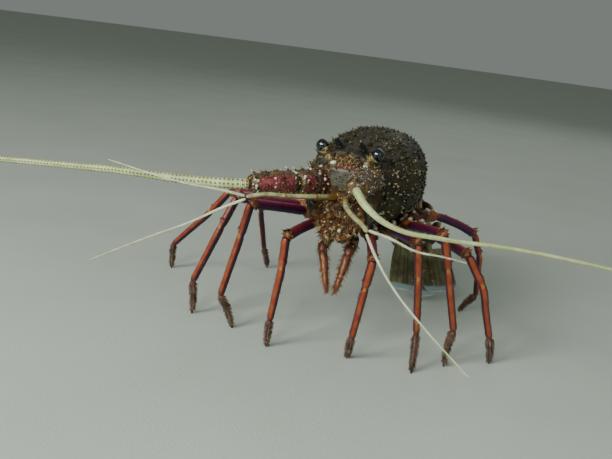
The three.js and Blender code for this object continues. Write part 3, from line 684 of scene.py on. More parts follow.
feelers = {
    "r": {
        "base": [at(-12.5, -43, 93), at(-14.5, -54, 92.8), at(-19.5, -67, 93)],
        "shaft": [at(-19.3, -66.6, 93), at(-27.5, -78, 93.4), at(-36, -88, 92.4)],
        "whip": [
            at(-35.4, -87.5, 92.4), at(-41.5, -92, 92.1), at(-67, -96, 90), at(-99, -98, 88.6),
            at(-137, -98, 85), at(-176, -97, 81), at(-250, -92, 72.5), at(-338, -84, 59),
        ],
        "girths": [(0, 2.7), (0.04, 2.6), (0.2, 2.05), (0.42, 1.6), (0.75, 0.9), (1, 0.3)],
        "divide": -108,
    },
    "l": {
        "base": [at(12.8, -43, 97), at(14.2, -56, 98.3), at(15.8, -69, 99.4)],
        "shaft": [at(15.8, -68.6, 99.4), at(17.5, -82, 100.6), at(19.6, -95, 101.2)],
        "whip": [
            at(19.5, -94.4, 101.2), at(22.4, -99, 99.6), at(27.4, -101.3, 95.4), at(39.6, -99, 88.4),
            at(61, -89, 85.2), at(90, -77, 84.4), at(135, -59, 80), at(185, -42, 73), at(285, -12, 58),
        ],
        "girths": [
            (0, 2.1), (0.03, 1.9), (0.06, 1.55), (0.1, 1.2), (0.27, 0.95), (0.45, 0.8), (0.75, 0.55),
            (1, 0.28),
        ],
        "divide": 98,
    },
}
barrels = {
    "base": [
        (0, 6.4), (0.05, 7.3), (0.3, 7.5), (0.5, 7.3), (0.545, 6.9), (0.57, 6.1), (0.6, 6.1), (0.625, 6.8),
        (0.7, 7.1), (0.85, 7.0), (0.94, 6.6), (1, 5.8),
    ],
    "shaft": [
        (0, 4.4), (0.04, 5.4), (0.1, 6.2), (0.4, 6.1), (0.75, 5.4), (0.88, 5.3), (0.93, 4.9), (0.95, 4.1),
        (1, 3.9),
    ],
}
pads = {"base": ((0.32, 0.13), (0.79, 0.13)), "shaft": ((0.5, 0.34),)}
for side in ("r", "l"):
    for joint, girths in barrels.items():
        path = feelers[side][joint]
        node = "antenna_" + side + "_" + joint
        barrel = limb(node, path, oval(girths, deep=0.94), 20, 2, 3)
        rows = np.zeros(len(barrel.data.vertices), np.float32)
        barrel.data.attributes["along"].data.foreach_get("value", rows)
        near = [np.clip(1.6 - np.abs(rows - heart) / reach, 0, 1) for heart, reach in pads[joint]]
        facing = points(barrel, "normal") @ np.array((0.82, -0.57, 0.05))
        inner = np.clip(3.2 * (facing - 0.5), 0, 1)
        mark(barrel, "pad", np.maximum.reduce(near) * inner * (side == "r"))
        long, knobs, knob_sizes = (1, 26, (0.8, 1.9)) if side == "r" else (0.5, 20, (0.5, 1.3))
        thorns = []
        for part in (0.16, 0.4, 0.68, 0.88):
            for turn in range(60, 250, 38):
                length = long * between(2.4, 3.8)
                turn += between(-12, 12)
                thorns.append(seat(path, part + between(-0.04, 0.04), turn, 0.9, length, 0.85 * length))
        thorns += thicket(path, 70, (0.7, 1.4), (0.04, 0.97), 0.5, 1.2)
        studs = []
        for k in range(knobs):
            part = random.choice((0.1, 0.5, 0.93)) + between(-0.06, 0.06)
            length = between(*knob_sizes)
            studs.append(seat(path, part, between(-40, 220), 0.2, length, length))
        hairs = brush(path, 110, (0.04, 0.97), all_round, 1.2, (1.5, 3), 0.1)
        plant(barrel, (spine, thorns), (bristle, hairs), (knob, studs))
        settle(barrel, node, "feeler_foot", pad_skin)


# The whips: long stiff tapering rods of hundreds of rings, pale green. The right one has
# rows of dark dots and both have short stiff bristles.
def cut(piece, place, way):
    """Cuts the piece across at this place, closes the cut and keeps what lies this way of it."""
    pick(piece)
    bpy.ops.object.mode_set(mode="EDIT")
    bpy.ops.mesh.select_all(action="SELECT")
    bpy.ops.mesh.bisect(plane_co=place, plane_no=way, use_fill=True, clear_inner=True, threshold=1e-6)
    bpy.ops.object.mode_set(mode="OBJECT")


ring_skins = {}
for side, dots in (("r", 0.85), ("l", 0.18)):
    ring_skins[side], place = finish("whip skin " + side)
    along = value(place, "along")
    over = value(place, "crown")
    front = value(place, "ahead")
    cloud = noise(place, 9, 4.0)
    around = over.node("ShaderNodeMath", {"operation": "ARCTAN2"}, {0: over, 1: front})
    grid = place.node("ShaderNodeCombineXYZ", {}, {"X": along * 150, "Y": around * 1.0, "Z": 0.0}, "Vector")
    inputs = {"Vector": grid, "Scale": 1.0, "Randomness": 0.15}
    dot = grid.node("ShaderNodeTexVoronoi", {"voronoi_dimensions": "2D"}, inputs, "Distance")
    ring = along.node("ShaderNodeMath", {"operation": "SINE"}, {0: along * 2200})
    tone = blend(step(cloud, 0.3, 0.7), (0.34, 0.42, 0.16), (0.50, 0.57, 0.28))
    tone = blend(step(along, 0.6, 1.0) * 0.5, tone, (0.55, 0.42, 0.20))
    dotted = (1 - step(dot, 0.2, 0.34)) * dots * (1 - step(along, 0.7, 0.9))
    tone = blend(dotted, tone, (0.07, 0.045, 0.03))
    tone = blend((1 - step(along, 0.0, 0.012)) * 0.8, tone, (0.36, 0.14, 0.04))
    tone = blend(value(place, "hair") * 0.6, tone, (0.30, 0.22, 0.10))
    lay(place, tone, 0.35 + 0.2 * cloud, ring * 0.5 + 0.4 * cloud, 0.12)
for side, sign in (("r", -1), ("l", 1)):
    feeler = feelers[side]
    path = feeler["whip"]
    whip = limb("whip", path, oval(feeler["girths"]), 12, 1, 3)
    hairs = []
    for k in range(260):
        part = between(0.01, 0.75)
        length = between(0.8, 1.5) * (1 - 0.5 * part)
        hairs.append(seat(path, part, random.choice((10, 170, 100)), 0.9, length, 0.09))
    plant(whip, (bristle, hairs))
    for number, keep in ((1, sign), (2, -sign)):
        node = "flagellum_" + side + "_" + str(number)
        stretch = whip.copy()
        stretch.data = whip.data.copy()
        stretch.name = node
        bpy.context.scene.collection.objects.link(stretch)
        cut(stretch, at(feeler["divide"], 0, 0), (-keep, 0, 0))
        settle(stretch, node, "feeler_whip", ring_skins[side])
    bpy.data.objects.remove(whip)


# The small feelers: a slender foot of three joints, orange at its root, that carries two
# threads. The outer thread has a brush of fine hairs towards its tip.
thread_skin, place = finish("small feeler skin")
cloud = noise(place, 4, 4.0)
along = value(place, "along")
ring = along.node("ShaderNodeMath", {"operation": "SINE"}, {0: along * 700})
tone = blend(step(cloud, 0.3, 0.7), (0.36, 0.42, 0.24), (0.55, 0.60, 0.42))
tone = blend(value(place, "hair") * 0.7, tone, (0.34, 0.27, 0.14))
lay(place, tone, 0.4 + 0.2 * cloud, 0.5 * ring + 0.4 * cloud, 0.1)
stem_skin, place = finish("small feeler foot skin")
cloud = noise(place, 4, 4.0)
along = value(place, "along")
tone = blend(step(cloud, 0.35, 0.65), (0.22, 0.22, 0.085), (0.42, 0.44, 0.22))
tone = blend(step(value(place, "crown"), 0.1, -0.6) * 0.8, tone, (0.10, 0.045, 0.015))
tone = blend(step(0.14 - along + 0.12 * cloud, 0.0, 0.1), tone, (0.27, 0.125, 0.024))
seam = step(0.02 - abs(along - 0.31), 0.0, 0.012) + step(0.02 - abs(along - 0.63), 0.0, 0.012)
tone = blend(seam * 0.8, tone, (0.20, 0.075, 0.02))
tone = blend(value(place, "hair") * 0.7, tone, (0.26, 0.17, 0.07))
lay(place, tone, 0.34 + 0.25 * cloud, cloud, 0.2)
small_feelers = {
    "antennule_r_foot": [
        at(-2.6, -50, 86), at(-7.2, -66, 87.8), at(-19, -82, 88.6), at(-26, -90, 89.3), at(-33, -97, 87.8),
    ],
    "antennule_r_outer": [
        at(-33.4, -97.2, 86.6), at(-42.6, -98, 81.4), at(-61, -98, 69.6), at(-82.5, -97, 57.7),
        at(-119, -95, 36.5),
    ],
    "antennule_r_inner": [at(-33.2, -98.2, 88.6), at(-43, -102, 90), at(-62, -107, 91), at(-103, -108, 95)],
    "antennule_l_foot": [
        at(3.2, -50, 86), at(10.4, -72, 86.6), at(19, -88, 86.4), at(26, -98, 86), at(30, -105, 85.4),
    ],
    "antennule_l_outer": [
        at(30.4, -106, 84.2), at(36.7, -109, 76), at(47.3, -111, 64), at(60, -112, 53), at(86, -112, 33),
    ],
    "antennule_l_inner": [
        at(31, -105.8, 86.3), at(41.6, -107, 85), at(53.2, -106, 81.6), at(65, -102, 80.6), at(75, -98, 79),
    ],
}
foot_girths = [
    (-0.02, 1.6), (0.02, 1.9), (0.1, 1.55), (0.26, 1.35), (0.29, 1.6), (0.305, 1.15), (0.32, 1.5),
    (0.4, 1.3), (0.58, 1.2), (0.61, 1.4), (0.625, 1.0), (0.64, 1.3), (0.75, 1.15), (0.96, 1.15), (1, 0.95),
]
thread_girths = [(-0.01, 0.75), (0.5, 0.5), (1, 0.25)]
for node, path in small_feelers.items():
    girths, coat = (foot_girths, stem_skin) if node.endswith("foot") else (thread_girths, thread_skin)
    thread = limb(node, path, oval(girths), 12, 1, 3)
    if node.endswith("outer"):
        hairs = brush(path, 150, (0.45, 0.97), (240, 300), 0.5, (1.2, 2.2), 0.06)
    else:
        hairs = brush(path, 150, (0.03, 0.97), all_round, 1.2, (0.6, 1.2), 0.05)
    plant(thread, (bristle, hairs))
    settle(thread, node, "small_feeler", coat)


# The jaw feet: two bristly jointed limbs that hang from under the mouth with their tips
# together, dark brown with a thin orange and yellow streak in front.
jaw_foot_skin, place, cloud, fine = skin("jaw foot skin", 4, 1.1)
along = value(place, "along")
front = value(place, "ahead")
streak = step(front + 0.12 * cloud, 0.96, 1.03)
tone = blend(step(cloud, 0.35, 0.65), (0.024, 0.007, 0.004), (0.095, 0.022, 0.008))
tone = blend(step(front + 0.2 * cloud, 0.7, 0.98), tone, (0.12, 0.024, 0.008))
tone = blend(streak * (1 - step(along, 0.78, 0.9)), tone, (0.36, 0.15, 0.026))
spots = (1 - step(along, 0.3, 0.42)) * step(noise(place, 2.6), 0.54, 0.62)
tone = blend(spots, tone, (0.40, 0.34, 0.19))
tone = blend(value(place, "hair"), tone, (0.16, 0.070, 0.022))
lay(place, tone, 0.38 + 0.25 * fine, fine, 0.25)

jaw_feet = {
    "maxilliped_r": [
        at(-5, -27, 61), at(-7.5, -35, 59), at(-8.2, -41, 56.5), at(-5, -45.5, 48.6), at(-2.2, -48, 40),
        at(-0.4, -48, 32.5),
    ],
    "maxilliped_l": [
        at(5, -27, 61), at(6.5, -35, 59), at(6.8, -41, 56.5), at(6, -46, 47), at(5, -48.4, 39.5),
        at(3.9, -49, 33.5),
    ],
}
girths = [
    (0, 2.6), (0.06, 2.9), (0.3, 3.1), (0.4, 2.9), (0.435, 2.0), (0.455, 2.0), (0.48, 2.5), (0.6, 2.3),
    (0.71, 2.1), (0.735, 1.5), (0.755, 1.5), (0.78, 1.9), (0.9, 1.5), (0.98, 0.9), (1, 0.3),
]
for node, path in jaw_feet.items():
    foot = limb(node, path, oval(girths, deep=0.92), 16, 2, 3, "MINIMUM")
    plant(foot, (bristle, brush(path, 420, (0.2, 0.99), all_round, 0.9, (1.2, 3.0), 0.13)))
    settle(foot, node, "jaw_foot", jaw_foot_skin)


# The breast plate: the hard underside between the legs, narrow in front and broad behind,
# with a raised rib between each pair of hips.
plate_skin, place, cloud, fine = skin("breast plate skin", 6, 1.3)
fleck = (1 - step(grains(place, 3.4), 0.12, 0.3)) * step(noise(place, 8), 0.45, 0.58)
tone = blend(step(cloud, 0.35, 0.65), (0.050, 0.024, 0.009), (0.17, 0.080, 0.024))
tone = blend(fleck, tone, (0.44, 0.38, 0.22))
tone = blend(step(value(place, "tip"), 0.2, 0.7), tone, (0.62, 0.50, 0.30))
lay(place, tone, 0.38 + 0.25 * fine, fine + 0.4 * cloud, 0.3)
plate = grow("sternum", [
    (-43, 6.6, 2.6), (-40, 7.0, 3.4), (-32, 6.6, 3.6), (-26, 6.4, 3.5), (-22, 7.2, 4.0), (-19, 7.8, 4.2),
    (-16, 7.6, 3.4), (-14, 8.2, 3.3), (-10, 11.4, 4.3), (-7, 11.8, 4.3), (-4, 11.2, 3.4), (-1, 12.2, 3.4),
    (3, 15.0, 4.3), (6, 15.2, 4.3), (9, 14.8, 3.4), (12, 15.6, 3.4), (16, 17.8, 4.3), (19, 18.0, 4.3),
    (22, 17.4, 3.5), (25, 18.0, 3.5), (29, 19.5, 4.3), (33, 19.4, 4.2), (36, 18.2, 3.4), (40, 18.4, 3.2),
    (43, 17, 2.6),
], 24)
soften(plate, 2)
plate.data.transform(turned(-leftward, upward, -ahead, at(0, 0, 64.9)))
knots = []
for k in range(150):
    y = between(-40, 40)
    x = between(-0.9, 0.9) * np.interp(y, (-43, -20, 5, 30, 43), (6, 6.5, 14, 19, 17))
    length = between(0.8, 1.6)
    knots.append((at(x, y, 65), -upward, Vector((0, -0.4, 0)), length, 1.4 * length))
plant(plate, (spine, knots))
settle(plate, "sternum", "belly", plate_skin)


# The ten legs: a thick spotted hip, a purple thigh with thorns at the knee, a wrist and a
# shin in bright orange with dark edges, and a brown hooked claw in dense bristle.
hips = ((11, -20), (15, -8), (19, 5), (22, 18), (24, 30))
hip_height = 64.5
below_floor = 0.4
steepest = 0.995
links = (
    (49, 16.5, 32.5, 16.5), (57.5, 20.5, 36, 21.5), (62.5, 20.5, 36.5, 21.5), (65.5, 19.5, 36, 18.5),
    (51, 16.5, 31, 18.5),
)
stoutness = (1, 1, 1.02, 1, 0.9)
stances = {
    "r1": ((-79, 49, 39, 63), (0, -88, -80), 1),
    "r2": ((-55, -1, 0, 150), (10, -79, -77), 1),
    "r3": ((-43, -55, -16, 95), (7, -64, -69), 0.98),
    "r4": ((-4, 4, 5, 64), (-2, -52, -47), 1.05),
    "r5": ((6, 72, 89, 93), (-4, -61, -64), 1.05),
    "l1": ((-72, 132, 122, 113), (-3, -77, -74), 1),
    "l2": ((-58, 66, 83, -77), (8, -75, -68), 1.01),
    "l3": ((-54, 57, 56, 154), (11, -69, -70), 1.03),
    "l4": ((-43, 11, 53, 63), (-1, -57, -67), 0.95),
    "l5": ((39, 28, 72, 172), (-10, -68, -77), 0.93),
}


def heading(sign, turn, rise):
    """One millimetre outward from the body at this turn and this rise, in degrees."""
    turn, rise = math.radians(turn), math.radians(rise)
    flat = math.cos(rise)
    return Vector((sign * flat * math.cos(turn), flat * math.sin(turn), math.sin(rise))) * 0.001


thigh_skin, place, cloud, fine = skin("thigh skin", 6, 1.2, Specular_IOR_Level=0.35)
along = value(place, "along")
over = value(place, "crown") + 0.4 * cloud
hip_tone = blend(step(cloud, 0.35, 0.65), (0.034, 0.013, 0.006), (0.17, 0.050, 0.014))
hip_tone = blend(step(along, 0.28, 0.38) * step(over, 0.3, 0.7), hip_tone, (0.24, 0.080, 0.020))
thigh_tone = blend(step(over, -0.3, 0.25), (0.011, 0.005, 0.024), (0.050, 0.005, 0.038))
thigh_tone = blend(step(over, 0.4, 0.95), thigh_tone, (0.13, 0.011, 0.024))
thigh_tone = blend(step(over, 1.0, 1.3) * 0.6, thigh_tone, (0.25, 0.045, 0.045))
tone = blend(step(along + 0.05 * cloud, 0.42, 0.48), hip_tone, thigh_tone)
knee_tone = blend(step(noise(place, 1.8), 0.42, 0.6), (0.080, 0.020, 0.009), (0.19, 0.075, 0.020))
tone = blend(step(along + 0.04 * cloud, 0.94, 0.99), tone, knee_tone)
tone = blend(step(value(place, "tip"), 0.35, 0.85), tone, (0.36, 0.22, 0.10))
knob_tone = blend(step(cloud, 0.4, 0.6), (0.30, 0.26, 0.14), (0.54, 0.56, 0.42))
tone = blend(value(place, "pale"), tone, knob_tone)
tone = blend(value(place, "hair"), tone, (0.12, 0.055, 0.022))
lay(place, tone, 0.30 + 0.25 * fine, fine + 0.3 * cloud, 0.22)

shin_skin, place, cloud, fine = skin("shin skin", 5, 1.2, Specular_IOR_Level=0.4)
along = value(place, "along")
outer = value(place, "outer") + 0.12 * cloud
dark = blend(step(noise(place, 9), 0.42, 0.6), (0.034, 0.006, 0.010), (0.009, 0.008, 0.024))
tone = blend(step(outer, 0.72, 0.86), dark, (0.17, 0.014, 0.008))
orange = blend(step(cloud, 0.3, 0.7), (0.19, 0.027, 0.009), (0.27, 0.066, 0.018))
tone = blend(step(outer, 0.87, 0.98), tone, orange)
wrist = step(0.035 - abs(along - 0.335), 0.0, 0.025) * step(outer, 0.85, 1.0)
tone = blend(wrist * 0.7, tone, (0.36, 0.16, 0.028))
tone = blend(step(along, 0.90, 1.0), tone, (0.070, 0.022, 0.012))
tone = blend(value(place, "tip"), tone, (0.44, 0.26, 0.12))
tone = blend(value(place, "hair"), tone, (0.13, 0.050, 0.024))
lay(place, tone, 0.26 + 0.25 * fine, fine + 0.3 * cloud, 0.2)

claw_skin, place, cloud, fine = skin("claw skin", 4, 0.9)
along = value(place, "along")
tone = blend(step(cloud, 0.35, 0.65), (0.024, 0.012, 0.008), (0.075, 0.032, 0.016))
tone = blend((1 - step(along, 0.02, 0.14)) * 0.5, tone, (0.10, 0.024, 0.010))
tone = blend(step(along, 0.82, 0.93), tone, (0.014, 0.009, 0.007))
hair_tone = blend(step(cloud, 0.45, 0.6), (0.055, 0.026, 0.014), (0.16, 0.088, 0.045))
tone = blend(value(place, "hair"), tone, hair_tone)
lay(place, tone, 0.45 + 0.25 * fine, fine, 0.2)

thigh_girths = [
    (0, 3.9), (0.03, 4.6), (0.1, 4.8), (0.155, 4.5), (0.17, 3.5), (0.185, 3.5), (0.2, 4.2), (0.26, 4.2),
    (0.33, 4.0), (0.395, 4.0), (0.41, 2.5), (0.43, 2.3), (0.45, 2.9), (0.55, 2.8), (0.8, 2.75),
    (0.92, 2.95), (0.97, 2.75), (0.99, 2.1), (1, 1.5),
]
shin_girths = [
    (0, 1.5), (0.015, 2.0), (0.05, 2.35), (0.14, 2.25), (0.24, 2.3), (0.3, 2.25), (0.325, 1.75),
    (0.34, 1.7), (0.36, 2.1), (0.45, 2.1), (0.7, 2.0), (0.9, 1.9), (0.965, 2.0), (0.985, 1.6), (1, 1.2),
]
claw_girths = [
    (-0.02, 1.1), (0.02, 1.6), (0.08, 1.9), (0.16, 1.85), (0.3, 1.75), (0.6, 1.5), (0.8, 1.2),
    (0.9, 0.8), (1, 0.35),
]
for name, (turns, rises, scale) in stances.items():
    sign = -1 if name[0] == "r" else 1
    number = int(name[1]) - 1
    stout = stoutness[number]
    joints = [at(sign * hips[number][0], hips[number][1], hip_height)]
    for turn, rise, link in zip(turns, rises, links[number]):
        joints.append(joints[-1] + scale * link * heading(sign, turn, rise))
    hip, knee, wrist, ankle = joints
    claw = scale * links[number][3]
    fall = min(ankle.z * 1000 + below_floor, steepest * claw)
    toe = ankle + heading(sign, turns[3], 0) * math.sqrt(claw ** 2 - fall ** 2)
    toe.z = ankle.z - fall * 0.001

    out = knee - hip
    lift = Vector((0, 0, 0.001)) * {"r1": 2.5, "l5": 4}.get(name, 1)
    path = [
        hip + Vector((-sign * 0.005, 0.0015, -0.001)), hip, hip + 0.3 * out + 1.2 * lift,
        hip + 0.65 * out + lift, knee + 0.01 * out,
    ]
    thigh = limb("thigh", path, oval(thigh_girths, 0.95, 1.03, stout), 16, 2, 4)
    thorns = []
    for turn, length in ((50, 3.4), (90, 3.7), (130, 3.4), (10, 2.2), (170, 2.2), (-40, 1.8)):
        thorns.append(seat(path, 0.955, turn, 1.0, length, 0.8 * length))
    thorns += thicket(path, 16, (0.8, 1.6), (0.92, 0.985), 0.8, 1.1)
    for part in (0.52, 0.68, 0.84):
        thorns.append(seat(path, part, 90 + between(-14, 14), 1.1, between(0.9, 1.4), 1.2))
    thorns += thicket(path, 34, (0.7, 1.5), (0.03, 0.4), 0.5, 1.3)
    studs = []
    for part, turn, length in ((0.12, 80, 3.0), (0.3, 65, 2.6), (0.31, 115, 3.2), (0.385, 90, 2.6)):
        studs.append(seat(path, part, turn + between(-12, 12), 0.2, length, length))
    for k in range(8):
        part = random.choice((0.07, 0.13, 0.22, 0.3, 0.38)) + between(-0.015, 0.015)
        length = between(0.7, 1.6)
        studs.append(seat(path, part, between(-10, 190), 0.2, length, length))
    hairs = brush(path, 60, (0.03, 0.98), all_round, 1.3, (0.8, 1.6), 0.08)
    plant(thigh, (spine, thorns), (bristle, hairs), (knob, studs))
    settle(thigh, "leg_" + name + "_merus", "thigh", thigh_skin)

    path = [knee, knee.lerp(wrist, 0.55), wrist, wrist.lerp(ankle, 0.5), ankle]
    shin = limb("shin", path, oval(shin_girths, 1, 1.06, stout), 16, 2, 4)
    drop = (ankle - knee).normalized()
    outward = 0.6 * out.normalized() + 0.6 * ahead
    outward = (outward - outward.dot(drop) * drop).normalized()
    mark(shin, "outer", points(shin, "normal") @ np.array(outward))
    thorns = [seat(path, 0.26, turn, 1.0, 2.2, 1.8) for turn in (60, 120)]
    hairs = brush(path, 150, (0.04, 0.99), (-14, 14), 1.0, (0.6, 1.4), 0.08, (20, 160, 200, 340))
    plant(shin, (spine, thorns), (bristle, hairs))
    settle(shin, "leg_" + name + "_shin", "shin", shin_skin)

    bow = 0.045 * (ankle - toe).cross(upward).cross(ankle - toe).normalized() * claw * 0.001
    path = [ankle, ankle.lerp(toe, 0.5) + bow, toe]
    dactyl = limb("claw", path, oval(claw_girths, 1, 1.1, stout), 14, 2, 3)
    hairs = brush(path, 430, (0.05, 0.88), (-12, 12), 0.9, (0.8, 1.7), 0.16, range(0, 360, 45))
    plant(dactyl, (bristle, hairs))
    cut(dactyl, (0, 0, 0), upward)
    settle(dactyl, "leg_" + name + "_dactyl", "claw", claw_skin)


# The tail: six arched plates that slide under one another, each with a pointed flap down
# both sides and, on the middle four, a pair of leaf fins beneath.
tail_skin, place, cloud, fine = skin("tail skin", 9, 1.3)
along = value(place, "along")
flap = value(place, "flap")
edge = step(0.09 - abs(along - 0.86), 0.0, 0.05) * step(noise(place, 4), 0.35, 0.6)
fleck = (1 - step(grains(place, 3.0), 0.12, 0.3)) * step(noise(place, 6), 0.45, 0.6)
tone = blend(step(cloud, 0.35, 0.68), (0.022, 0.019, 0.008), (0.070, 0.055, 0.021))
tone = blend(edge, tone, (0.22, 0.20, 0.10))
tone = blend(fleck, tone, (0.30, 0.28, 0.16))
tone = blend((1 - step(value(place, "crown"), -0.9, -0.3)) * 0.7, tone, (0.16, 0.10, 0.04))
tone = blend(flap * step(cloud, 0.3, 0.6), tone, (0.16, 0.055, 0.018))
tone = blend(flap * step(value(place, "tip"), 0.5, 0.95), tone, (0.46, 0.37, 0.19))
tone = blend(value(place, "hair"), tone, (0.17, 0.11, 0.045))
lay(place, tone, 0.34 + 0.25 * fine, fine + 0.4 * cloud, 0.3)
leaf_skin, place = finish("leaf fin skin")
cloud = noise(place, 5, 5.0)
tone = blend(step(cloud, 0.35, 0.65), (0.060, 0.028, 0.010), (0.17, 0.090, 0.030))
tone = blend(step(value(place, "along"), 0.7, 0.95), tone, (0.38, 0.32, 0.18))
lay(place, tone, 0.4 + 0.2 * cloud, cloud, 0.2)

tail_joints = [
    (at(0, 46.3, 88), Vector((1, 0, 0)), 22, 20, 13),
    (at(-4, 64, 88), Vector((1, 0, 0)), 22, 19.5, 13),
    (at(-7, 81, 83), Vector((1, 0.04, 0)), 21.5, 18.5, 12.5),
    (at(-7, 95, 72.5), Vector((0.99, 0.12, 0)), 20.5, 17, 12),
    (at(-1, 102, 58), Vector((0.97, 0.22, 0)), 19, 15.5, 11),
    (at(9, 100, 44), Vector((0.95, 0.32, 0)), 17.5, 13.5, 10),
    (at(21, 91, 34), Vector((0.92, 0.38, 0)), 16, 11, 8),
]
rings = [
    (-1.5, 0.90), (0, 0.935), (0.2, 0.955), (0.24, 0.94), (0.28, 0.965), (0.45, 0.995), (0.62, 1.0),
    (0.66, 0.975), (0.7, 1.0), (0.9, 1.01), (0.96, 1.015), (1.0, 1.0), (1.02, 0.95),
]
for number, (near, far) in enumerate(zip(tail_joints, tail_joints[1:]), 1):
    start, side, half, up, down = near
    end, (far_half, far_up, far_down) = far[0], far[2:]
    back = (end - start).normalized()
    reach = (end - start).length * 1000
    across = (side - side.dot(back) * back).normalized()
    above = across.cross(back)
    slope = (far_half - half, far_up - up)
    stations = []
    for part, size in rings:
        height = part if part < 0 else part * reach
        stations.append((height, (half + part * slope[0]) * size, (up + part * slope[1]) * size))
    plate = grow("plate", stations, 28)
    rows = points(plate)
    below = rows[:, 1] < 0
    rows[below, 1] *= 0.5 * (down / up + far_down / far_up)
    rows[below, 0] *= 0.97
    plate.data.vertices.foreach_set("co", rows.ravel())
    soften(plate, 2)
    mark(plate, "along", points(plate)[:, 2] / (0.001 * reach))
    plate.data.transform(turned(-across, above, back, start))
    mark(plate, "crown", points(plate, "normal") @ np.array(above))
    grown = []
    for hand in (-1, 1):
        length = 9 if number == 6 else 14
        root = start.lerp(end, 0.62) + hand * across * half * 0.00090 - above * down * 0.00035
        point = (hand * 0.2 * across - above + 0.3 * back).normalized()
        flap = grow("flap", [
            (-2.5, 3.3, 1.6), (0, 3.6, 1.7), (0.3 * length, 3.4, 1.5), (0.6 * length, 2.5, 1.2),
            (0.85 * length, 1.2, 0.8), (length, 0.3, 0.3),
        ], 12)
        soften(flap, 2)
        mark(flap, "tip", np.clip(points(flap)[:, 2] * 1000 / length, 0, 1))
        mark(flap, "flap", np.ones(len(flap.data.vertices)))
        wide = (back - back.dot(point) * point).normalized()
        flap.data.transform(turned(wide, point.cross(wide), point, root))
        grown.append(flap)
        if 1 < number < 6:
            hinge = start.lerp(end, 0.62) + hand * across * half * 0.0005 - above * down * 0.0008
            point = (0.9 * back - above).normalized()
            wide = (across - across.dot(point) * point).normalized()
            leaf = grow("leaf", [
                (-1.5, 1.4, 1.1), (1, 1.5, 0.9), (2.5, 2.6, 0.6), (5, 3.7, 0.55), (7.5, 3.1, 0.5),
                (9.3, 0.8, 0.4),
            ], 16)
            soften(leaf, 2)
            mark(leaf, "along", np.clip(points(leaf)[:, 2] * 1000 / 9.3, 0, 1))
            leaf.data.transform(turned(wide, point.cross(wide), point, hinge))
            leaf.data.materials.append(leaf_skin)
            grown.append(leaf)
    plate.data.materials.append(tail_skin)
    hairs = []
    for k in range(160):
        lift = math.radians(between(-10, 190))
        way = across * math.cos(lift) + above * math.sin(lift)
        part = random.choice((0.25, 0.68, 0.97)) + between(-0.01, 0.01)
        hairs.append((start.lerp(end, part), way, back * 1.2, between(0.8, 1.8), 0.09))
    plant(plate, (bristle, hairs))
    for flap in grown:
        if not flap.data.materials:
            flap.data.materials.append(tail_skin)
    join(plate, grown)
    settle(plate, "abdomen_" + str(number), "tail")


# The tail fan, half folded: a middle leaf and two leaves on each side, horny and olive
# near the root, thin and ribbed further out, with a pale fringe of hair at the end.
fan_skin, place, cloud, fine = skin("fan skin", 6, 1.2)
along = value(place, "along")
rib = value(place, "rib")
groove = rib.node("ShaderNodeMath", {"operation": "SINE"}, {0: rib * 75})
stripes = rib.node("ShaderNodeCombineXYZ", {}, {"X": rib * 4.0, "Y": along * 0.5, "Z": 0.0}, "Vector")
rib_shade = stripes.node("ShaderNodeTexNoise", {}, {"Vector": stripes, "Scale": 1.0, "Detail": 2.0}, 0)
tone = blend(step(cloud, 0.35, 0.65), (0.11, 0.115, 0.045), (0.24, 0.235, 0.100))
tone = blend(step(noise(place, 5, 2.0), 0.5, 0.65) * 0.6, tone, (0.15, 0.095, 0.036))
tone = blend(step(groove, 0.2, 0.9) * step(along, 0.1, 0.3) * 0.6, tone, (0.040, 0.030, 0.014))
tone = blend(step(rib_shade, 0.5, 0.62) * 0.7, tone, (0.036, 0.026, 0.012))
tone = blend(step(along + 0.05 * cloud, 0.88, 0.95), tone, (0.30, 0.42, 0.40))
fleck = (1 - step(grains(place, 3.0), 0.1, 0.26)) * (1 - step(along, 0.1, 0.25))
tone = blend(fleck, tone, (0.34, 0.31, 0.18))
tone = blend(value(place, "hair"), tone, (0.20, 0.24, 0.20))
lay(place, tone, 0.36 + 0.25 * fine, 0.7 * groove * step(along, 0.2, 0.4) + 0.4 * fine, 0.35)

root = at(21.3, 90, 33)
aim = Vector((12, -23, -26)).normalized()
side = Vector((0.92, 0.38, 0))
broad = (side - side.dot(aim) * aim).normalized()
under = broad.cross(aim)


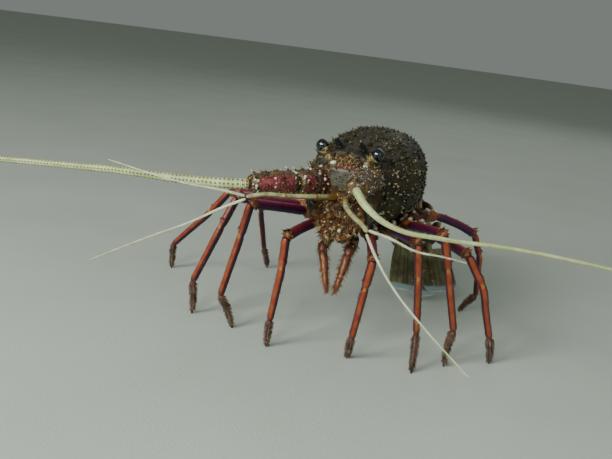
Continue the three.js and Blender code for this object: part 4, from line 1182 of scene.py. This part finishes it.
def leaf_of_fan(beside, start, length, width, turn, sink):
    """One leaf of the fan, beside the fan's root, turned there and sunk under the middle leaf."""
    half = width / 2
    outline = [
        (0, 0.8, 1.5), (0.06, 0.84, 1.35), (0.2, 0.9, 1.05), (0.35, 0.95, 0.85), (0.4, 0.96, 0.7),
        (0.6, 0.99, 0.6), (0.8, 1.0, 0.55), (0.9, 0.96, 0.5), (0.96, 0.82, 0.45), (0.99, 0.58, 0.4),
        (1, 0.35, 0.35),
    ]
    leaf = grow("leaf", [(part * length, half * wide, thick) for part, wide, thick in outline], 28)
    soften(leaf, 2)
    rows = points(leaf)
    along = np.clip(rows[:, 2] * 1000 / length, 0, 1)
    mark(leaf, "along", along)
    mark(leaf, "rib", rows[:, 0] * 1000 / (half * (0.6 + 0.4 * along)))
    stand = Matrix.Translation((-beside * 0.001, 0, start * 0.001))
    stand = stand @ Matrix.Rotation(math.radians(turn), 4, "Y")
    placing = turned(-broad, under, aim, root - under * sink * 0.001) @ stand
    leaf.data.transform(placing)
    seats = []
    for k in range(150):
        swing = between(-1, 1)
        way = Vector((math.sin(swing * 1.15), 0, math.cos(swing * 1.15)))
        heart = placing @ Vector((0, between(-0.0002, 0.0002), 0.62 * length * 0.001))
        way = (placing.to_3x3() @ way).normalized()
        seats.append((heart, way, aim * 0.4, between(0.3, 0.6), 0.08))
    leaf.data.materials.append(fan_skin)
    plant(leaf, (bristle, seats))
    return leaf


settle(leaf_of_fan(0, 0, 38, 19, 0, 0), "telson", "tail_fan")
for node, hand in (("uropod_r", -1), ("uropod_l", 1)):
    inner = leaf_of_fan(hand * 6, 3, 32, 15, -hand * 4, 1.7)
    outer = leaf_of_fan(hand * 11.5, 3, 32, 16, -hand * 8, 2.9)
    path = [
        root + broad * hand * 0.006 - aim * 0.001 - under * 0.0032,
        root + broad * hand * 0.0065 + aim * 0.004 - under * 0.0032,
        root + broad * hand * 0.007 + aim * 0.008 - under * 0.0032,
    ]
    stem = limb("stem", path, [(0, 2.2, 2.2), (0.5, 2.3, 2.2), (1, 1, 1)], 14, 2, 2)
    stem.data.materials.append(fan_skin)
    join(inner, [outer, stem])
    settle(inner, node, "tail_fan")

for sprig in (spine, bristle, knob):
    bpy.data.objects.remove(sprig)
